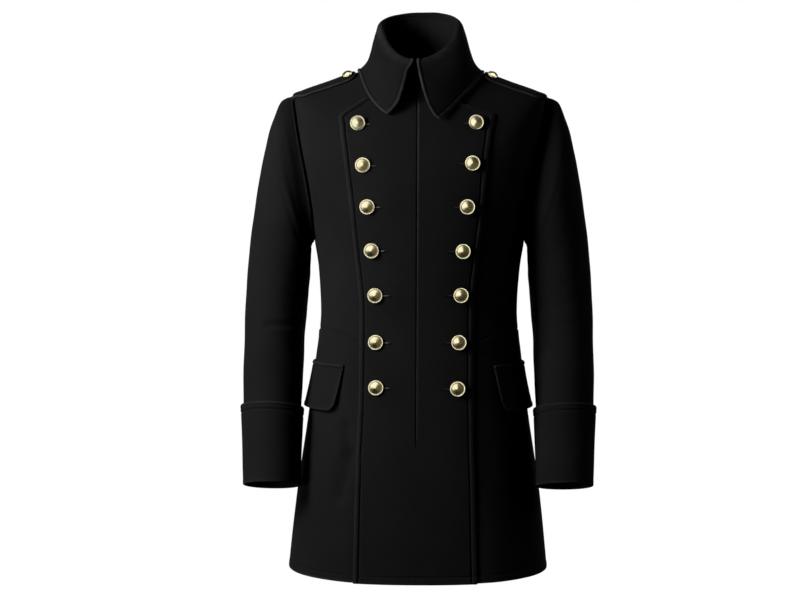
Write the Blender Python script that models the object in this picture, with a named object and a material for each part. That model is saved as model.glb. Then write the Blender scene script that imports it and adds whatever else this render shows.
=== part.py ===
"""A double-breasted wool coat, filled out as if worn and open at neck, hem and cuffs.

Metres, +Z up, the front toward -Y. The origin is the middle of the neck, level with the
points where the shoulders meet it. Right and left are the wearer's, so right is -X.
"""

import math

import bpy
import numpy as np

# Cloth and sewing
WALL = 0.0022  # pressed melton wool with its backing
SEAM = 0.0003  # space between two pieces sewn edge to edge
LAP = 0.0009  # space under a piece that lies on another

# Heights up the cloth, measured along the side and shoulder from the hem
ARMPIT = 0.560
TIP = 0.810
NECK = 0.960
SKIRT_STEPS = 15
ARMHOLE_STEPS = 12

# The shoulder's turn is eased over this much of the cloth
SOFT_REACH = 0.095
SOFT_SPAN = 0.155

# Armhole, as angles to the front and back of the side line
ARMHOLE_FRONT = 14.5
ARMHOLE_BACK = 16.0
ARMHOLE_SWELL = 5.5  # how much wider it is at the armpit than at the shoulder

# Front panel
SLIT = 0.0008
SLIT_END_STEP = 6  # the row above the hem where the slit ends
PANEL_SHIFT = 0.0040  # the panel closes this far to the wearer's right
PANEL_DROP = 0.0010  # the panel hangs this much below the side fronts
UNDERLAP = 0.050  # how far the side fronts run under the panel

# Collar
STAND_TOP = dict(
    half_width=0.061,
    front_depth=0.072,
    back_depth=0.066,
    z_side=0.066,
    z_front=-0.010,
    z_back=0.095,
)
STAND_LEAN = 1.2
NECK_SEAM = 0.0009  # the curved neck seam needs more room
COLLAR_TWIST = 0.0078  # the collar closes this far to the wearer's right
PROW = 0.0110  # the collar comes forward this far to a ridge at its closing
PROW_DIP = 0.0018
PROW_SPREAD = 34.0
PROW_AT_EDGE = 0.7  # share of it that is left at the leaf's edge
ROLL_OUT = 0.010
ROLL_UP = 0.008
COLLAR_COLUMNS = 31
LEAF_CORNER = 1.8  # angle of the leaf's top corner from the middle
LEAF_LIFT = 0.0066

# Sleeves and cuffs
FRONT_SEAM_STEP = 10  # the sleeve seams lie this many columns from its outer line
BACK_SEAM_STEP = 8
SEAM_TRIM = 0.75 * SEAM  # each long edge is drawn back this much
CUFF_TOP = 0.872
CUFF_LIFT_TOP = 0.0018

# Shoulder straps
STRAP_HALF_WIDTH = 0.022
STRAP_LAP = 0.0014
STRAP_INSET = 0.0025  # its end lies this far in from the armhole seam
STRAP_LEVEL = 0.9215
STRAP_FORWARD = 0.0200  # its middle lies this far in front of the side line
STRAP_SEAM = (-12.0, 27.0)  # where its two edges meet the armhole seam, as turns from the tip
STRAP_ROUND = 0.80  # the neck end is rounded from here on
STRAP_NARROWING = 0.85
STRAP_SEWN = 0.20  # share of its length that widens into the armhole seam
STRAP_ROWS = (0.0, 0.035, 0.08, 0.14, 0.24, 0.40, 0.60, 0.80, 0.90, 0.96, 1.0)
STRAP_BUTTON_LEVEL = 0.9065
STRAP_BUTTON_FORWARD = 0.0270

# Pocket flaps
FLAP_BACK = 101.0
FLAP_TOP = -0.511
FLAP_DEPTH = 0.078
FLAP_RISE = 0.006
FLAP_FRONT_TOP = 0.122
FLAP_FRONT_BOTTOM = 0.133
FLAP_CORNER = 0.018
FLAP_LENGTH = 0.150
FLAP_COLUMNS = (0.0, 0.04, 0.12, 0.3, 0.5, 0.7, 0.88, 0.96, 1.0)
FLAP_LAP = 0.0016
FLAP_LIFT = 0.0060

# Buttons
BUTTON_SIDES = 14
BUTTON_SEAT = 0.0004  # space under the shank
BUTTON_FACING = 0.72  # on its shank a button turns this share of the way to face straight ahead
STRAP_BUTTON_SCALE = 0.7
STRAP_BUTTON_FACING = 0.25
STRAP_BUTTON_SEAT = 0.0004  # the strap's hollow lifts its button this much more

SIDES = dict(left=1, right=-1)  # the sign of x on each side

WOOL_COLOUR = (0.0075, 0.0075, 0.0085, 1.0)
BRASS_COLOUR = (0.78, 0.60, 0.32, 1.0)


def table(names, *rows):
    return dict(zip(names.split(), np.array(rows, float).T))


# One row for each girth of the worn form, from the hem to the neck
BODY = table(
    "level z_side half_width z_front front_depth z_back back_depth roundness",
    (0.000, -0.855, 0.2200, -0.8625, 0.149, -0.857, 0.146, 2.55),
    (0.132, -0.728, 0.2070, -0.730, 0.141, -0.730, 0.136, 2.35),
    (0.252, -0.609, 0.1895, -0.610, 0.131, -0.610, 0.124, 2.25),
    (0.362, -0.500, 0.1755, -0.500, 0.122, -0.500, 0.108, 2.20),
    (0.442, -0.420, 0.1673, -0.420, 0.117, -0.420, 0.098, 2.20),
    (0.510, -0.352, 0.1716, -0.352, 0.121, -0.352, 0.104, 2.20),
    (0.560, -0.302, 0.1795, -0.304, 0.126, -0.302, 0.112, 2.25),
    (0.650, -0.215, 0.1960, -0.235, 0.129, -0.215, 0.121, 2.30),
    (0.735, -0.130, 0.2090, -0.187, 0.124, -0.140, 0.119, 2.30),
    (0.810, -0.0555, 0.2150, -0.147, 0.115, -0.075, 0.105, 2.20),
    (0.832, -0.0480, 0.1990, -0.136, 0.112, -0.060, 0.101, 2.20),
    (0.879, -0.031, 0.1510, -0.115, 0.106, -0.031, 0.090, 2.15),
    (0.946, -0.006, 0.0880, -0.085, 0.095, 0.006, 0.072, 2.05),
    (0.960, 0.000, 0.0750, -0.075, 0.090, 0.012, 0.065, 2.00),
)

# Soft folds of the skirt and back, each a long swell on the form
FOLDS = table(
    "angle level half_angle half_length lift",
    (-40.0, 0.060, 9.0, 0.130, 0.0030),
    (43.0, 0.040, 9.0, 0.120, 0.0025),
    (-124.0, 0.040, 14.0, 0.160, 0.0045),
    (121.0, 0.030, 14.0, 0.170, 0.0045),
    (-162.0, 0.050, 12.0, 0.190, 0.0045),
    (160.0, 0.040, 12.0, 0.180, 0.0045),
)

# Half width of the front panel, up to its top corners and on under the collar
PANEL = table(
    "level right left",
    (0.000, 0.0995, 0.0995),
    (0.132, 0.0967, 0.0967),
    (0.252, 0.0937, 0.0937),
    (0.362, 0.0930, 0.0930),
    (0.442, 0.0930, 0.0930),
    (0.510, 0.0985, 0.0985),
    (0.560, 0.1040, 0.1040),
    (0.650, 0.1122, 0.1114),
    (0.735, 0.1205, 0.1168),
    (0.790, 0.1266, 0.1222),
    (0.830, 0.1325, 0.1296),
)
PANEL_TOP = table(
    "level right left",
    (0.830, 0.1325, 0.1296),
    (0.846, 0.1250, 0.1292),
    (0.870, 0.1078, 0.1078),
    (0.910, 0.0817, 0.0720),
    (0.960, 0.0290, 0.0280),
)

# Sleeve sections: the outer and inner lines, the middle, and how far the section is pitched
SLEEVE = table(
    "reach outer_x outer_z inner_x inner_z middle_y half_depth pitch",
    (0.00, 0.2150, -0.0545, 0.1790, -0.3020, 0.000, 0.0580, 0.0),
    (0.06, 0.2350, -0.0615, 0.1825, -0.3050, 0.000, 0.0620, 0.0),
    (0.14, 0.2500, -0.0930, 0.1842, -0.3095, 0.000, 0.0670, 0.0),
    (0.22, 0.2610, -0.1310, 0.1852, -0.3165, 0.000, 0.0700, 0.0),
    (0.34, 0.2740, -0.1950, 0.1862, -0.3380, 0.003, 0.0710, 0.0),
    (0.47, 0.2868, -0.2800, 0.1885, -0.3750, 0.006, 0.0690, 2.0),
    (0.60, 0.2955, -0.3720, 0.1930, -0.4250, 0.006, 0.0650, 5.0),
    (0.70, 0.2980, -0.4500, 0.1962, -0.4800, -0.002, 0.0610, 9.0),
    (0.80, 0.2975, -0.5300, 0.1968, -0.5400, -0.022, 0.0570, 12.0),
    (0.88, 0.2950, -0.5900, 0.1985, -0.5920, -0.040, 0.0535, 14.0),
    (0.94, 0.2918, -0.6510, 0.1990, -0.6510, -0.056, 0.0500, 14.0),
    (1.00, 0.2882, -0.7125, 0.1985, -0.7125, -0.073, 0.0470, 14.0),
)
SLEEVE_ROWS = (0.0, 0.05, 0.11, 0.18, 0.26, 0.35, 0.45, 0.55, 0.65, 0.74, 0.81)
CUFF_ROWS = (CUFF_TOP, 0.91, 0.955, 1.0)
SLEEVE_BLEND = 0.24  # the sleeve takes the armhole's shape over this much of its reach

# Side view of the rolled top, then of the fall below it, with the sweep of its two front edges
ROLL = table(
    "out rise",
    (0.04, 0.55),
    (0.30, 0.92),
    (0.70, 0.92),
    (1.00, 0.50),
)
FALL = table(
    "drop spread front_spread left_sweep right_sweep",
    (0.16, 0.14, 0.28, 0.02, 0.21),
    (0.36, 0.27, 0.58, 0.11, 0.32),
    (0.58, 0.38, 0.82, 0.25, 0.44),
    (0.80, 0.54, 0.96, 0.47, 0.61),
    (0.93, 0.75, 1.00, 0.71, 0.82),
    (1.00, 1.00, 1.00, 1.00, 1.00),
)

# The collar's top stands higher at the back corners than at the nape, more so on the left
RIM = table(
    "angle lift",
    (0.0, 0.0000),
    (60.0, 0.0000),
    (100.0, 0.0030),
    (130.0, 0.0044),
    (150.0, 0.0038),
    (180.0, 0.0010),
    (205.0, 0.0011),
    (230.0, 0.0016),
    (250.0, 0.0012),
    (285.0, 0.0000),
    (360.0, 0.0000),
)

# Each end of the fall: angle of its point, level of its edge, and how far and steeply that dips
LEAVES = table(
    "share point level dip power",
    (0.0, 15.6, 0.9212, 0.0511, 12.3),
    (1.0, 333.4, 0.9280, 0.0411, 1.65),
)

# Button centres on each side, from the top pair down
BUTTONS = table(
    "right_x right_z left_x left_z",
    (0.1027, -0.1152, 0.0937, -0.1131),
    (0.0922, -0.1842, 0.0861, -0.1804),
    (0.0840, -0.2517, 0.0770, -0.2512),
    (0.0771, -0.3226, 0.0701, -0.3232),
    (0.0712, -0.3961, 0.0675, -0.3953),
    (0.0699, -0.4733, 0.0644, -0.4731),
    (0.0688, -0.5472, 0.0629, -0.5485),
)

# Turned button: shank, underside, rim and dome
BUTTON = table(
    "radius height",
    (0.0040, 0.0000),
    (0.0040, 0.0024),
    (0.0114, 0.0030),
    (0.0126, 0.0042),
    (0.0120, 0.0056),
    (0.0108, 0.0052),
    (0.0060, 0.0076),
)
BUTTON_CROWN = 0.0084


def smooth(at, x, y):
    """Curve through the rows x, y that keeps between them."""
    step = np.diff(x)
    rise = np.diff(y) / step
    same_way = rise[1:] * rise[:-1] > 0
    total = np.where(same_way, rise[1:] + rise[:-1], 1.0)
    inner = np.where(same_way, 2 * rise[1:] * rise[:-1] / total, 0.0)
    slope = np.concatenate([rise[:1], inner, rise[-1:]])
    k = np.clip(np.searchsorted(x, at) - 1, 0, len(x) - 2)
    t = (at - x[k]) / step[k]
    ends = (1 + 2 * t) * (1 - t) ** 2 * y[k] + t * t * (3 - 2 * t) * y[k + 1]
    return ends + step[k] * (t * (1 - t) ** 2 * slope[k] - t * t * (1 - t) * slope[k + 1])


def section(rows, at):
    key = next(iter(rows))
    return {name: smooth(at, rows[key], column) for name, column in rows.items()}


def ring(girth, angle, lean=2.0):
    """Point of a girth, where angle runs from the centre front toward +X."""
    front = np.cos(angle) > 0
    depth = np.where(front, girth["front_depth"], girth["back_depth"])
    z_middle = np.where(front, girth["z_front"], girth["z_back"])
    power = girth.get("roundness", 2.0)
    along = (np.abs(np.cos(angle)) / depth) ** power
    across = (np.abs(np.sin(angle)) / girth["half_width"]) ** power
    reach = (along + across) ** (-1 / power)
    x = reach * np.sin(angle)
    y = -reach * np.cos(angle)
    z = girth["z_side"] + (z_middle - girth["z_side"]) * np.abs(y / depth) ** lean
    return np.stack([x, y, z], -1)


def softened(level, angle):
    """Girth point, with the turn at the shoulder tip eased toward the front and back."""
    near = np.clip(1 - np.abs(level - TIP) / SOFT_SPAN, 0, 1)
    reach = SOFT_REACH * np.sin(near * math.pi / 2) ** 2 * np.abs(np.cos(angle))
    steps = (-2, -1, 0, 1, 2)
    points = [(3 - abs(i)) / 9 * ring(section(BODY, level + reach * i / 2), angle) for i in steps]
    return sum(points)


def form(level, angle):
    """Point of the worn form, with its soft folds."""
    point = softened(level, angle)
    swell = 0.0
    for turn, middle, half_angle, half_length, lift in zip(*FOLDS.values()):
        off = (angle - math.radians(turn) + math.pi) % math.tau - math.pi
        across = (off / math.radians(half_angle)) ** 2
        up = ((level - middle) / half_length) ** 2
        swell = swell + lift * np.exp(-across - up)
    point[..., 0] += swell * np.sin(angle)
    point[..., 1] -= swell * np.cos(angle)
    return point


def cloth(level, angle, out=0.0):
    """Points of the form moved out along its normals."""
    level, angle, out = np.broadcast_arrays(level, angle, out)
    nudge = 1e-4
    round_it = form(level, angle + nudge) - form(level, angle - nudge)
    up = form(level + nudge, angle) - form(level - nudge, angle)
    normal = np.cross(round_it, up)
    normal /= np.linalg.norm(normal, axis=-1, keepdims=True)
    return form(level, angle) + normal * out[..., None]


def angle_at(level, x):
    """Angle on the front where the form lies x from the middle."""
    girth = section(BODY, level)
    power = girth["roundness"]
    share = 1 - (np.abs(x) / girth["half_width"]) ** power
    y = girth["front_depth"] * share ** (1 / power)
    return np.arctan2(x, y)


def angle_beside(level, y):
    """Angle near the side line where the form lies y behind it."""
    girth = section(BODY, level)
    power = girth["roundness"]
    depth = np.where(y < 0, girth["front_depth"], girth["back_depth"])
    x = girth["half_width"] * (1 - (np.abs(y) / depth) ** power) ** (1 / power)
    return np.arctan2(x, -y)


def place(x, z):
    """Level and angle of the point on the front with this x and z."""
    low, high = 0.0, NECK
    for _ in range(40):
        level = (low + high) / 2
        if ring(section(BODY, level), angle_at(level, x))[2] < z:
            low = level
        else:
            high = level
    return level, float(angle_at(level, x))


def armhole(turn, inside=0.0):
    """Level and angle of the left armhole, where turn runs from its tip over the front."""
    middle = (TIP + ARMPIT) / 2
    half = (TIP - ARMPIT) / 2 - inside
    width = np.where(np.sin(turn) > 0, ARMHOLE_FRONT, ARMHOLE_BACK) - ARMHOLE_SWELL * np.cos(turn)
    level = middle + half * np.cos(turn)
    angle = math.pi / 2 - np.radians(width) * np.sin(turn)
    return level, angle + inside / section(BODY, level)["half_width"] * np.sin(turn)


def levels():
    """Rows of the body panels from hem to neck, close together where the armhole turns."""
    turns = np.linspace(math.pi, 0, ARMHOLE_STEPS + 1)[1:]
    skirt = np.linspace(0, ARMPIT, SKIRT_STEPS + 1)
    return np.concatenate([skirt, armhole(turns)[0], PANEL_TOP["level"]])


def side_edge(level, way):
    """Angle of a panel's outer edge: side seam, then armhole, then shoulder seam."""
    middle = (TIP + ARMPIT) / 2
    half = (TIP - ARMPIT) / 2
    turn = way * np.arccos(np.clip((level - middle) / half, -1, 1))
    angle = armhole(turn)[1]
    return angle - way * SEAM / 2 / section(BODY, level)["half_width"]


def panel_edge(level, side):
    """Half width of the front panel at a level, with a corner where its top edge starts."""
    wide = smooth(level, PANEL["level"], PANEL[side])
    top = np.interp(level, PANEL_TOP["level"], PANEL_TOP[side])
    return np.where(level > PANEL_TOP["level"][0], top, wide)


def spread(low, high, count):
    """Columns evenly from low to high on each row."""
    share = np.linspace(0, 1, count)
    return low[:, None] + (high - low)[:, None] * share


def normals(grid, closed=False):
    """Normals of a grid of points, to the side that columns crossed with rows point to."""
    if closed:
        across = np.roll(grid, -1, 1) - np.roll(grid, 1, 1)
    else:
        across = np.gradient(grid, axis=1)
    normal = np.cross(across, np.gradient(grid, axis=0))
    return normal / np.linalg.norm(normal, axis=-1, keepdims=True)


def mirrored(points):
    return points * np.array([-1.0, 1.0, 1.0])


def mesh_object(name, points, faces, material):
    """Object from points and faces, turned so that it faces out."""
    volume = 0.0
    for face in faces:
        for i in range(1, len(face) - 1):
            corners = points[[face[0], face[i], face[i + 1]]]
            volume += np.linalg.det(corners)
    if volume < 0:
        faces = [face[:1] + face[:0:-1] for face in faces]
    used = sorted({corner for face in faces for corner in face})
    number = {old: new for new, old in enumerate(used)}
    mesh = bpy.data.meshes.new(name)
    mesh.from_pydata(points[used].tolist(), [], [[number[i] for i in face] for face in faces])
    mesh.materials.append(material)
    item = bpy.data.objects.new(name, mesh)
    bpy.context.scene.collection.objects.link(item)
    return item


def shell(name, outer, inner, material, closed=False, cut=()):
    """Cloth between two grids of points. A cell listed in cut is left open."""
    rows, columns = outer.shape[:2]
    half = rows * columns
    points = np.concatenate([outer.reshape(-1, 3), inner.reshape(-1, 3)])
    faces = []
    sides = set()
    for row in range(rows - 1):
        for column in range(columns if closed else columns - 1):
            if (row, column) in cut:
                continue
            after = (column + 1) % columns
            low = row * columns
            quad = (low + column, low + after, low + columns + after, low + columns + column)
            faces.append(quad)
            faces.append(tuple(i + half for i in quad[::-1]))
            sides.update(zip(quad, quad[1:] + quad[:1]))
    for start, end in sorted(sides):
        if (end, start) not in sides:
            faces.append((end, start, start + half, end + half))
    return mesh_object(name, points, faces, material)


def pair(name, outer, inner, material, closed=False):
    """The left piece and its mirror image on the right."""
    shell(name + "_left", outer, inner, material, closed)
    shell(name + "_right", mirrored(outer), mirrored(inner), material, closed)


def wool():
    return plain_material("black_wool", WOOL_COLOUR, roughness=0.85, metallic=0.0)


def brass():
    return plain_material("gold_brass", BRASS_COLOUR, roughness=0.28, metallic=1.0)


def plain_material(name, colour, roughness, metallic):
    material = bpy.data.materials.new(name)
    material.use_nodes = True
    shader = material.node_tree.nodes["Principled BSDF"]
    shader.inputs["Base Color"].default_value = colour
    shader.inputs["Roughness"].default_value = roughness
    shader.inputs["Metallic"].default_value = metallic
    material.diffuse_color = colour
    return material


def make_back(material):
    level = levels()
    edge = side_edge(level, -1)
    angle = spread(edge, math.tau - edge, 21)
    shell("back", cloth(level[:, None], angle), cloth(level[:, None], angle, -WALL), material)


def lap_columns(level, side):
    """Angles from the hidden edge of a side front to the edge of the panel that covers it."""
    edge = panel_edge(level, side)
    hidden = np.maximum(edge - UNDERLAP, SLIT * 4)
    return angle_at(level[:, None], SIDES[side] * spread(hidden, edge, 3) - PANEL_SHIFT)


def make_fronts(material):
    level = levels()
    for side, way in SIDES.items():
        lap = lap_columns(level, side)
        rest = spread(lap[:, -1], way * side_edge(level, 1), 9)[:, 1:]
        angle = np.concatenate([lap, rest], 1)
        outer = cloth(level[:, None], angle)
        shell(f"front_{side}", outer, cloth(level[:, None], angle, -WALL), material)


def make_front_panel(material):
    level = levels()
    half = {}
    for side, way in SIDES.items():
        lap = lap_columns(level, side)
        slit = angle_at(level, way * SLIT / 2 - PANEL_SHIFT)
        half[side] = np.concatenate([spread(slit, lap[:, 0], 4)[:, :-1], lap], 1)
    angle = np.concatenate([half["right"][:, ::-1], half["left"]], 1)
    level[0] -= PANEL_DROP
    level[-1] -= SEAM
    columns = half["left"].shape[1]
    cut = {(row, columns - 1) for row in range(SLIT_END_STEP, len(level) - 1)}
    outer = cloth(level[:, None], angle, LAP + WALL)
    shell("front_panel", outer, cloth(level[:, None], angle, LAP), material, cut=cut)


def stand_top(angle):
    """Top edge of the collar stand, on its inner face."""
    point = ring(STAND_TOP, angle, STAND_LEAN)
    point[..., 0] -= COLLAR_TWIST * np.maximum(np.cos(angle), 0) ** 4
    point[..., 2] += section(RIM, np.degrees(angle))["lift"]
    return point + prow(angle)


def prow(angle):
    """How the collar is drawn forward and down to a ridge at its closing."""
    near = np.clip(1 - np.arccos(np.cos(angle)) / math.radians(PROW_SPREAD), 0, 1) ** 2
    return near[..., None] * np.array([0.0, -PROW, -PROW_DIP])


def collar_angles(end):
    """Angles of the collar's columns, from the left end round the back to the right end."""
    return np.linspace(end, math.tau - end, COLLAR_COLUMNS)


def stand_grids():
    """Outer and inner points of the collar stand, from the neck seam up."""
    top = stand_top(collar_angles(math.radians(LEAF_CORNER)))
    neck_depth = BODY["front_depth"][-1]
    base_angle = collar_angles(SLIT / 2 / neck_depth)
    base_angle = base_angle - PANEL_SHIFT / neck_depth * np.maximum(np.cos(base_angle), 0) ** 4
    base = cloth(NECK + NECK_SEAM, base_angle, -WALL)
    rise = np.linspace(0, 1, 5)[:, None, None]
    inner = base + (top - base) * rise
    outer = inner + normals(inner) * WALL
    outer[0] = cloth(NECK + NECK_SEAM, base_angle)
    return outer, inner


def make_collar_stand(material):
    outer, inner = stand_grids()
    shell("collar_stand", outer, inner, material)


def make_collar_fall(material):
    top_angle = collar_angles(math.radians(LEAF_CORNER))
    share = np.linspace(0, 1, COLLAR_COLUMNS)
    leaf = {name: np.interp(share, LEAVES["share"], column) for name, column in LEAVES.items()}
    edge_angle = np.radians(leaf["point"])
    top = stand_top(top_angle)
    level = leaf["level"] - leaf["dip"] * np.maximum(np.cos(edge_angle), 0) ** leaf["power"]
    edge = cloth(level, edge_angle, LEAF_LIFT) + PROW_AT_EDGE * prow(top_angle)
    away = np.stack([np.sin(top_angle), -np.cos(top_angle), 0 * share], -1)
    seam = np.array([0.0, 0.0, SEAM])
    up = np.array([0.0, 0.0, ROLL_UP])
    rows = [top + seam]
    for out, rise in zip(*ROLL.values()):
        rows.append(top + away * out * ROLL_OUT + up * rise)
    roll = rows[-1]
    near = np.hypot(roll[:, 0], roll[:, 1])
    far = np.hypot(edge[:, 0], edge[:, 1])
    front = np.maximum(np.cos(edge_angle), 0)
    for drop, side_out, front_out, left_sweep, right_sweep in zip(*FALL.values()):
        out = side_out + (front_out - side_out) * front
        sweep = left_sweep + (right_sweep - left_sweep) * share
        angle = top_angle + (edge_angle - top_angle) * sweep
        reach = near + (far - near) * out
        z = roll[:, 2] + (edge[:, 2] - roll[:, 2]) * drop
        twist = COLLAR_TWIST * np.maximum(np.cos(top_angle), 0) ** 4 * (1 - drop)
        rows.append(np.stack([reach * np.sin(angle) - twist, -reach * np.cos(angle), z], -1))
    outer = np.array(rows)
    inner = outer + normals(outer) * WALL
    inner[0] = stand_grids()[0][-1] + seam
    shell("collar_fall", outer, inner, material)


def sleeve_sections(turn, reach):
    """Rings of the left sleeve, where turn runs from its outer line over its front."""
    row = section(SLEEVE, reach)
    outer = np.stack([row["outer_x"], row["middle_y"], row["outer_z"]], -1)
    inner = np.stack([row["inner_x"], row["middle_y"], row["inner_z"]], -1)
    pitch = np.radians(row["pitch"])
    forward = np.stack([0 * pitch, -np.cos(pitch), np.sin(pitch)], -1) * row["half_depth"][:, None]
    middle = (outer + inner) / 2
    side = (outer - inner) / 2
    around = np.cos(turn)[None, :, None] * side[:, None] + np.sin(turn)[None, :, None] * forward[:, None]
    return middle[:, None] + around


def sleeve_grids(turn):
    """Outer and inner points of the left sleeve, sewn to the armhole at the first ring."""
    reach = np.array(SLEEVE_ROWS + CUFF_ROWS)
    outer = sleeve_sections(turn, reach)
    seam_level, seam_angle = armhole(turn, SEAM)
    off = cloth(seam_level, seam_angle) - outer[0]
    fade = np.clip(1 - reach / SLEEVE_BLEND, 0, 1) ** 2
    outer = outer + fade[:, None, None] * off
    inner = outer - normals(outer, closed=True) * WALL
    inner[0] = cloth(seam_level, seam_angle, -WALL)
    return outer, inner


def make_sleeves(material):
    columns = 2 * ARMHOLE_STEPS
    turn = np.arange(columns) * math.tau / columns
    outer, inner = sleeve_grids(turn)
    top = np.arange(-BACK_SEAM_STEP, FRONT_SEAM_STEP + 1) % columns
    under = np.arange(FRONT_SEAM_STEP, columns - BACK_SEAM_STEP + 1)
    pair("top_sleeve", seam_trimmed(outer[:, top]), seam_trimmed(inner[:, top]), material)
    pair("under_sleeve", seam_trimmed(outer[:, under]), seam_trimmed(inner[:, under]), material)
    base = outer[len(SLEEVE_ROWS) :]
    out = normals(outer, closed=True)[len(SLEEVE_ROWS) :]
    lift = LAP + CUFF_LIFT_TOP * np.linspace(1, 0, len(base)) ** 2
    inside = base + out * lift[:, None, None]
    pair("cuff", inside + out * WALL, inside, material, closed=True)


def seam_trimmed(grid):
    """The strip of cloth with both long edges drawn back for the seam."""
    grid = grid.copy()
    for edge, beside in ((0, 1), (-1, -2)):
        along = grid[:, beside] - grid[:, edge]
        grid[:, edge] += along * SEAM_TRIM / np.linalg.norm(along, axis=-1, keepdims=True)
    return grid


def make_epaulettes(material):
    across = np.linspace(-1, 1, 7)
    along = np.array(STRAP_ROWS)
    seam_turn = np.radians(np.interp(across, (-1, 1), STRAP_SEAM))
    seam_level, seam_angle = armhole(seam_turn, -STRAP_INSET)
    round_end = np.clip((along - STRAP_ROUND) / (1 - STRAP_ROUND), 0, 1)
    width = STRAP_HALF_WIDTH * np.sqrt(1 - STRAP_NARROWING * round_end**2)
    level = seam_level + (STRAP_LEVEL - seam_level) * along[:, None]
    end_angle = angle_beside(level, -STRAP_FORWARD - width[:, None] * across)
    angle = seam_angle + (end_angle - seam_angle) * np.minimum(along[:, None] / STRAP_SEWN, 1)
    inner = cloth(level, angle, STRAP_LAP)
    pair("epaulette", cloth(level, angle, STRAP_LAP + WALL), inner, material)


def make_pocket_flaps(material):
    down = np.linspace(0, 1, 6)
    share = np.array(FLAP_COLUMNS)
    top_level = place(FLAP_FRONT_TOP, FLAP_TOP)[0] + FLAP_RISE * share
    from_end = np.minimum(share, 1 - share) * FLAP_LENGTH
    inset = np.clip(FLAP_CORNER - from_end, 0, None)
    depth = FLAP_DEPTH - FLAP_CORNER + np.sqrt(FLAP_CORNER**2 - inset**2)
    level = top_level - depth * down[:, None]
    edge_x = FLAP_FRONT_TOP + (FLAP_FRONT_BOTTOM - FLAP_FRONT_TOP) * down
    front = angle_at(level[:, 0], edge_x)[:, None]
    angle = front + (math.radians(FLAP_BACK) - front) * share
    out = FLAP_LAP + FLAP_LIFT * down[:, None] ** 1.5
    pair("pocket_flap", cloth(level, angle, out + WALL), cloth(level, angle, out), material)


def make_button(name, level, angle, out, material, facing=0.0, scale=1.0):
    """Turned button whose shank stands on the cloth at out from the form."""
    normal = cloth(level, angle, out + 1.0) - cloth(level, angle, out)
    axis = normal + facing * (np.array([0.0, -1.0, 0.0]) - normal)
    axis /= np.linalg.norm(axis)
    lean = np.linalg.norm(np.cross(normal, axis))
    seat = cloth(level, angle, out + BUTTON_SEAT + lean * scale * BUTTON["radius"][0])
    side = np.cross(axis, (0.0, 0.0, 1.0))
    if np.linalg.norm(side) < 0.5:
        side = np.array([0.0, 1.0, 0.0])
    side /= np.linalg.norm(side)
    other = np.cross(axis, side)
    turn = np.arange(BUTTON_SIDES) * math.tau / BUTTON_SIDES
    spoke = np.cos(turn)[:, None] * side + np.sin(turn)[:, None] * other
    points = [seat]
    for radius, height in zip(*BUTTON.values()):
        points.extend(seat + scale * (spoke * radius + axis * height))
    points.append(seat + axis * BUTTON_CROWN * scale)
    faces = []
    rings = len(BUTTON["radius"])
    last = len(points) - 1
    for i in range(BUTTON_SIDES):
        after = (i + 1) % BUTTON_SIDES
        faces.append((0, 1 + i, 1 + after))
        for k in range(rings - 1):
            low = 1 + k * BUTTON_SIDES
            high = low + BUTTON_SIDES
            faces.append((low + after, low + i, high + i, high + after))
        top = 1 + (rings - 1) * BUTTON_SIDES
        faces.append((last, top + after, top + i))
    mesh_object(name, np.array(points), faces, material)


def make_buttons(material):
    on_panel = LAP + WALL
    for side, way in SIDES.items():
        for i, (x, z) in enumerate(zip(BUTTONS[side + "_x"], BUTTONS[side + "_z"])):
            level, angle = place(x, z)
            make_button(f"button_{side}_{i + 1}", level, way * angle, on_panel, material, BUTTON_FACING)
        make_button(
            f"button_epaulette_{side}",
            STRAP_BUTTON_LEVEL,
            way * float(angle_beside(STRAP_BUTTON_LEVEL, -STRAP_BUTTON_FORWARD)),
            STRAP_LAP + WALL + STRAP_BUTTON_SEAT,
            material,
            STRAP_BUTTON_FACING,
            STRAP_BUTTON_SCALE,
        )


def main():
    for item in list(bpy.data.objects):
        bpy.data.objects.remove(item)
    cloth_material = wool()
    make_back(cloth_material)
    make_fronts(cloth_material)
    make_front_panel(cloth_material)
    make_collar_stand(cloth_material)
    make_collar_fall(cloth_material)
    make_sleeves(cloth_material)
    make_epaulettes(cloth_material)
    make_pocket_flaps(cloth_material)
    make_buttons(brass())


main()
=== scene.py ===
import math

import bpy
import numpy as np
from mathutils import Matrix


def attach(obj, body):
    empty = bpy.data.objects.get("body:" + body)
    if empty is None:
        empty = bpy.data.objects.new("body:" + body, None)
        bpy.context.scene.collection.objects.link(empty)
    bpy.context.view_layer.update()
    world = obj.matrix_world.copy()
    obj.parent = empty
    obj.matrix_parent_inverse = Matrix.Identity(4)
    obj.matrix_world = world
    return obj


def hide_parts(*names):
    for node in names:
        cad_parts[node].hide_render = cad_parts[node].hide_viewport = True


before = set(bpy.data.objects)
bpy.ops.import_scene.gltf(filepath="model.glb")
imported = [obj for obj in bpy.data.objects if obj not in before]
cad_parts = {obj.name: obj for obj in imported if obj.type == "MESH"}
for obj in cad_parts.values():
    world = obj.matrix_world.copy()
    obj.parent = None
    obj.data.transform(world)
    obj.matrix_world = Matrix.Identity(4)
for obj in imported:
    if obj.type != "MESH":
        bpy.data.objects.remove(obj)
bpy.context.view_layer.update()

# Cloth and sewing, as in the solids
WALL = 0.0022
SEAM = 0.0003
SEAM_TRIM = 0.75 * SEAM
LAP = 0.0009

# Heights up the cloth, measured along the side and shoulder from the hem
ARMPIT = 0.560
TIP = 0.810
NECK = 0.960
SOFT_REACH = 0.095
SOFT_SPAN = 0.155

# Armhole, as heights and as angles to the front and back of the side line
ARMHOLE_MIDDLE = (TIP + ARMPIT) / 2
ARMHOLE_HALF = (TIP - ARMPIT) / 2
ARMHOLE_FRONT = 14.5
ARMHOLE_BACK = 16.0
ARMHOLE_SWELL = 5.5

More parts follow.
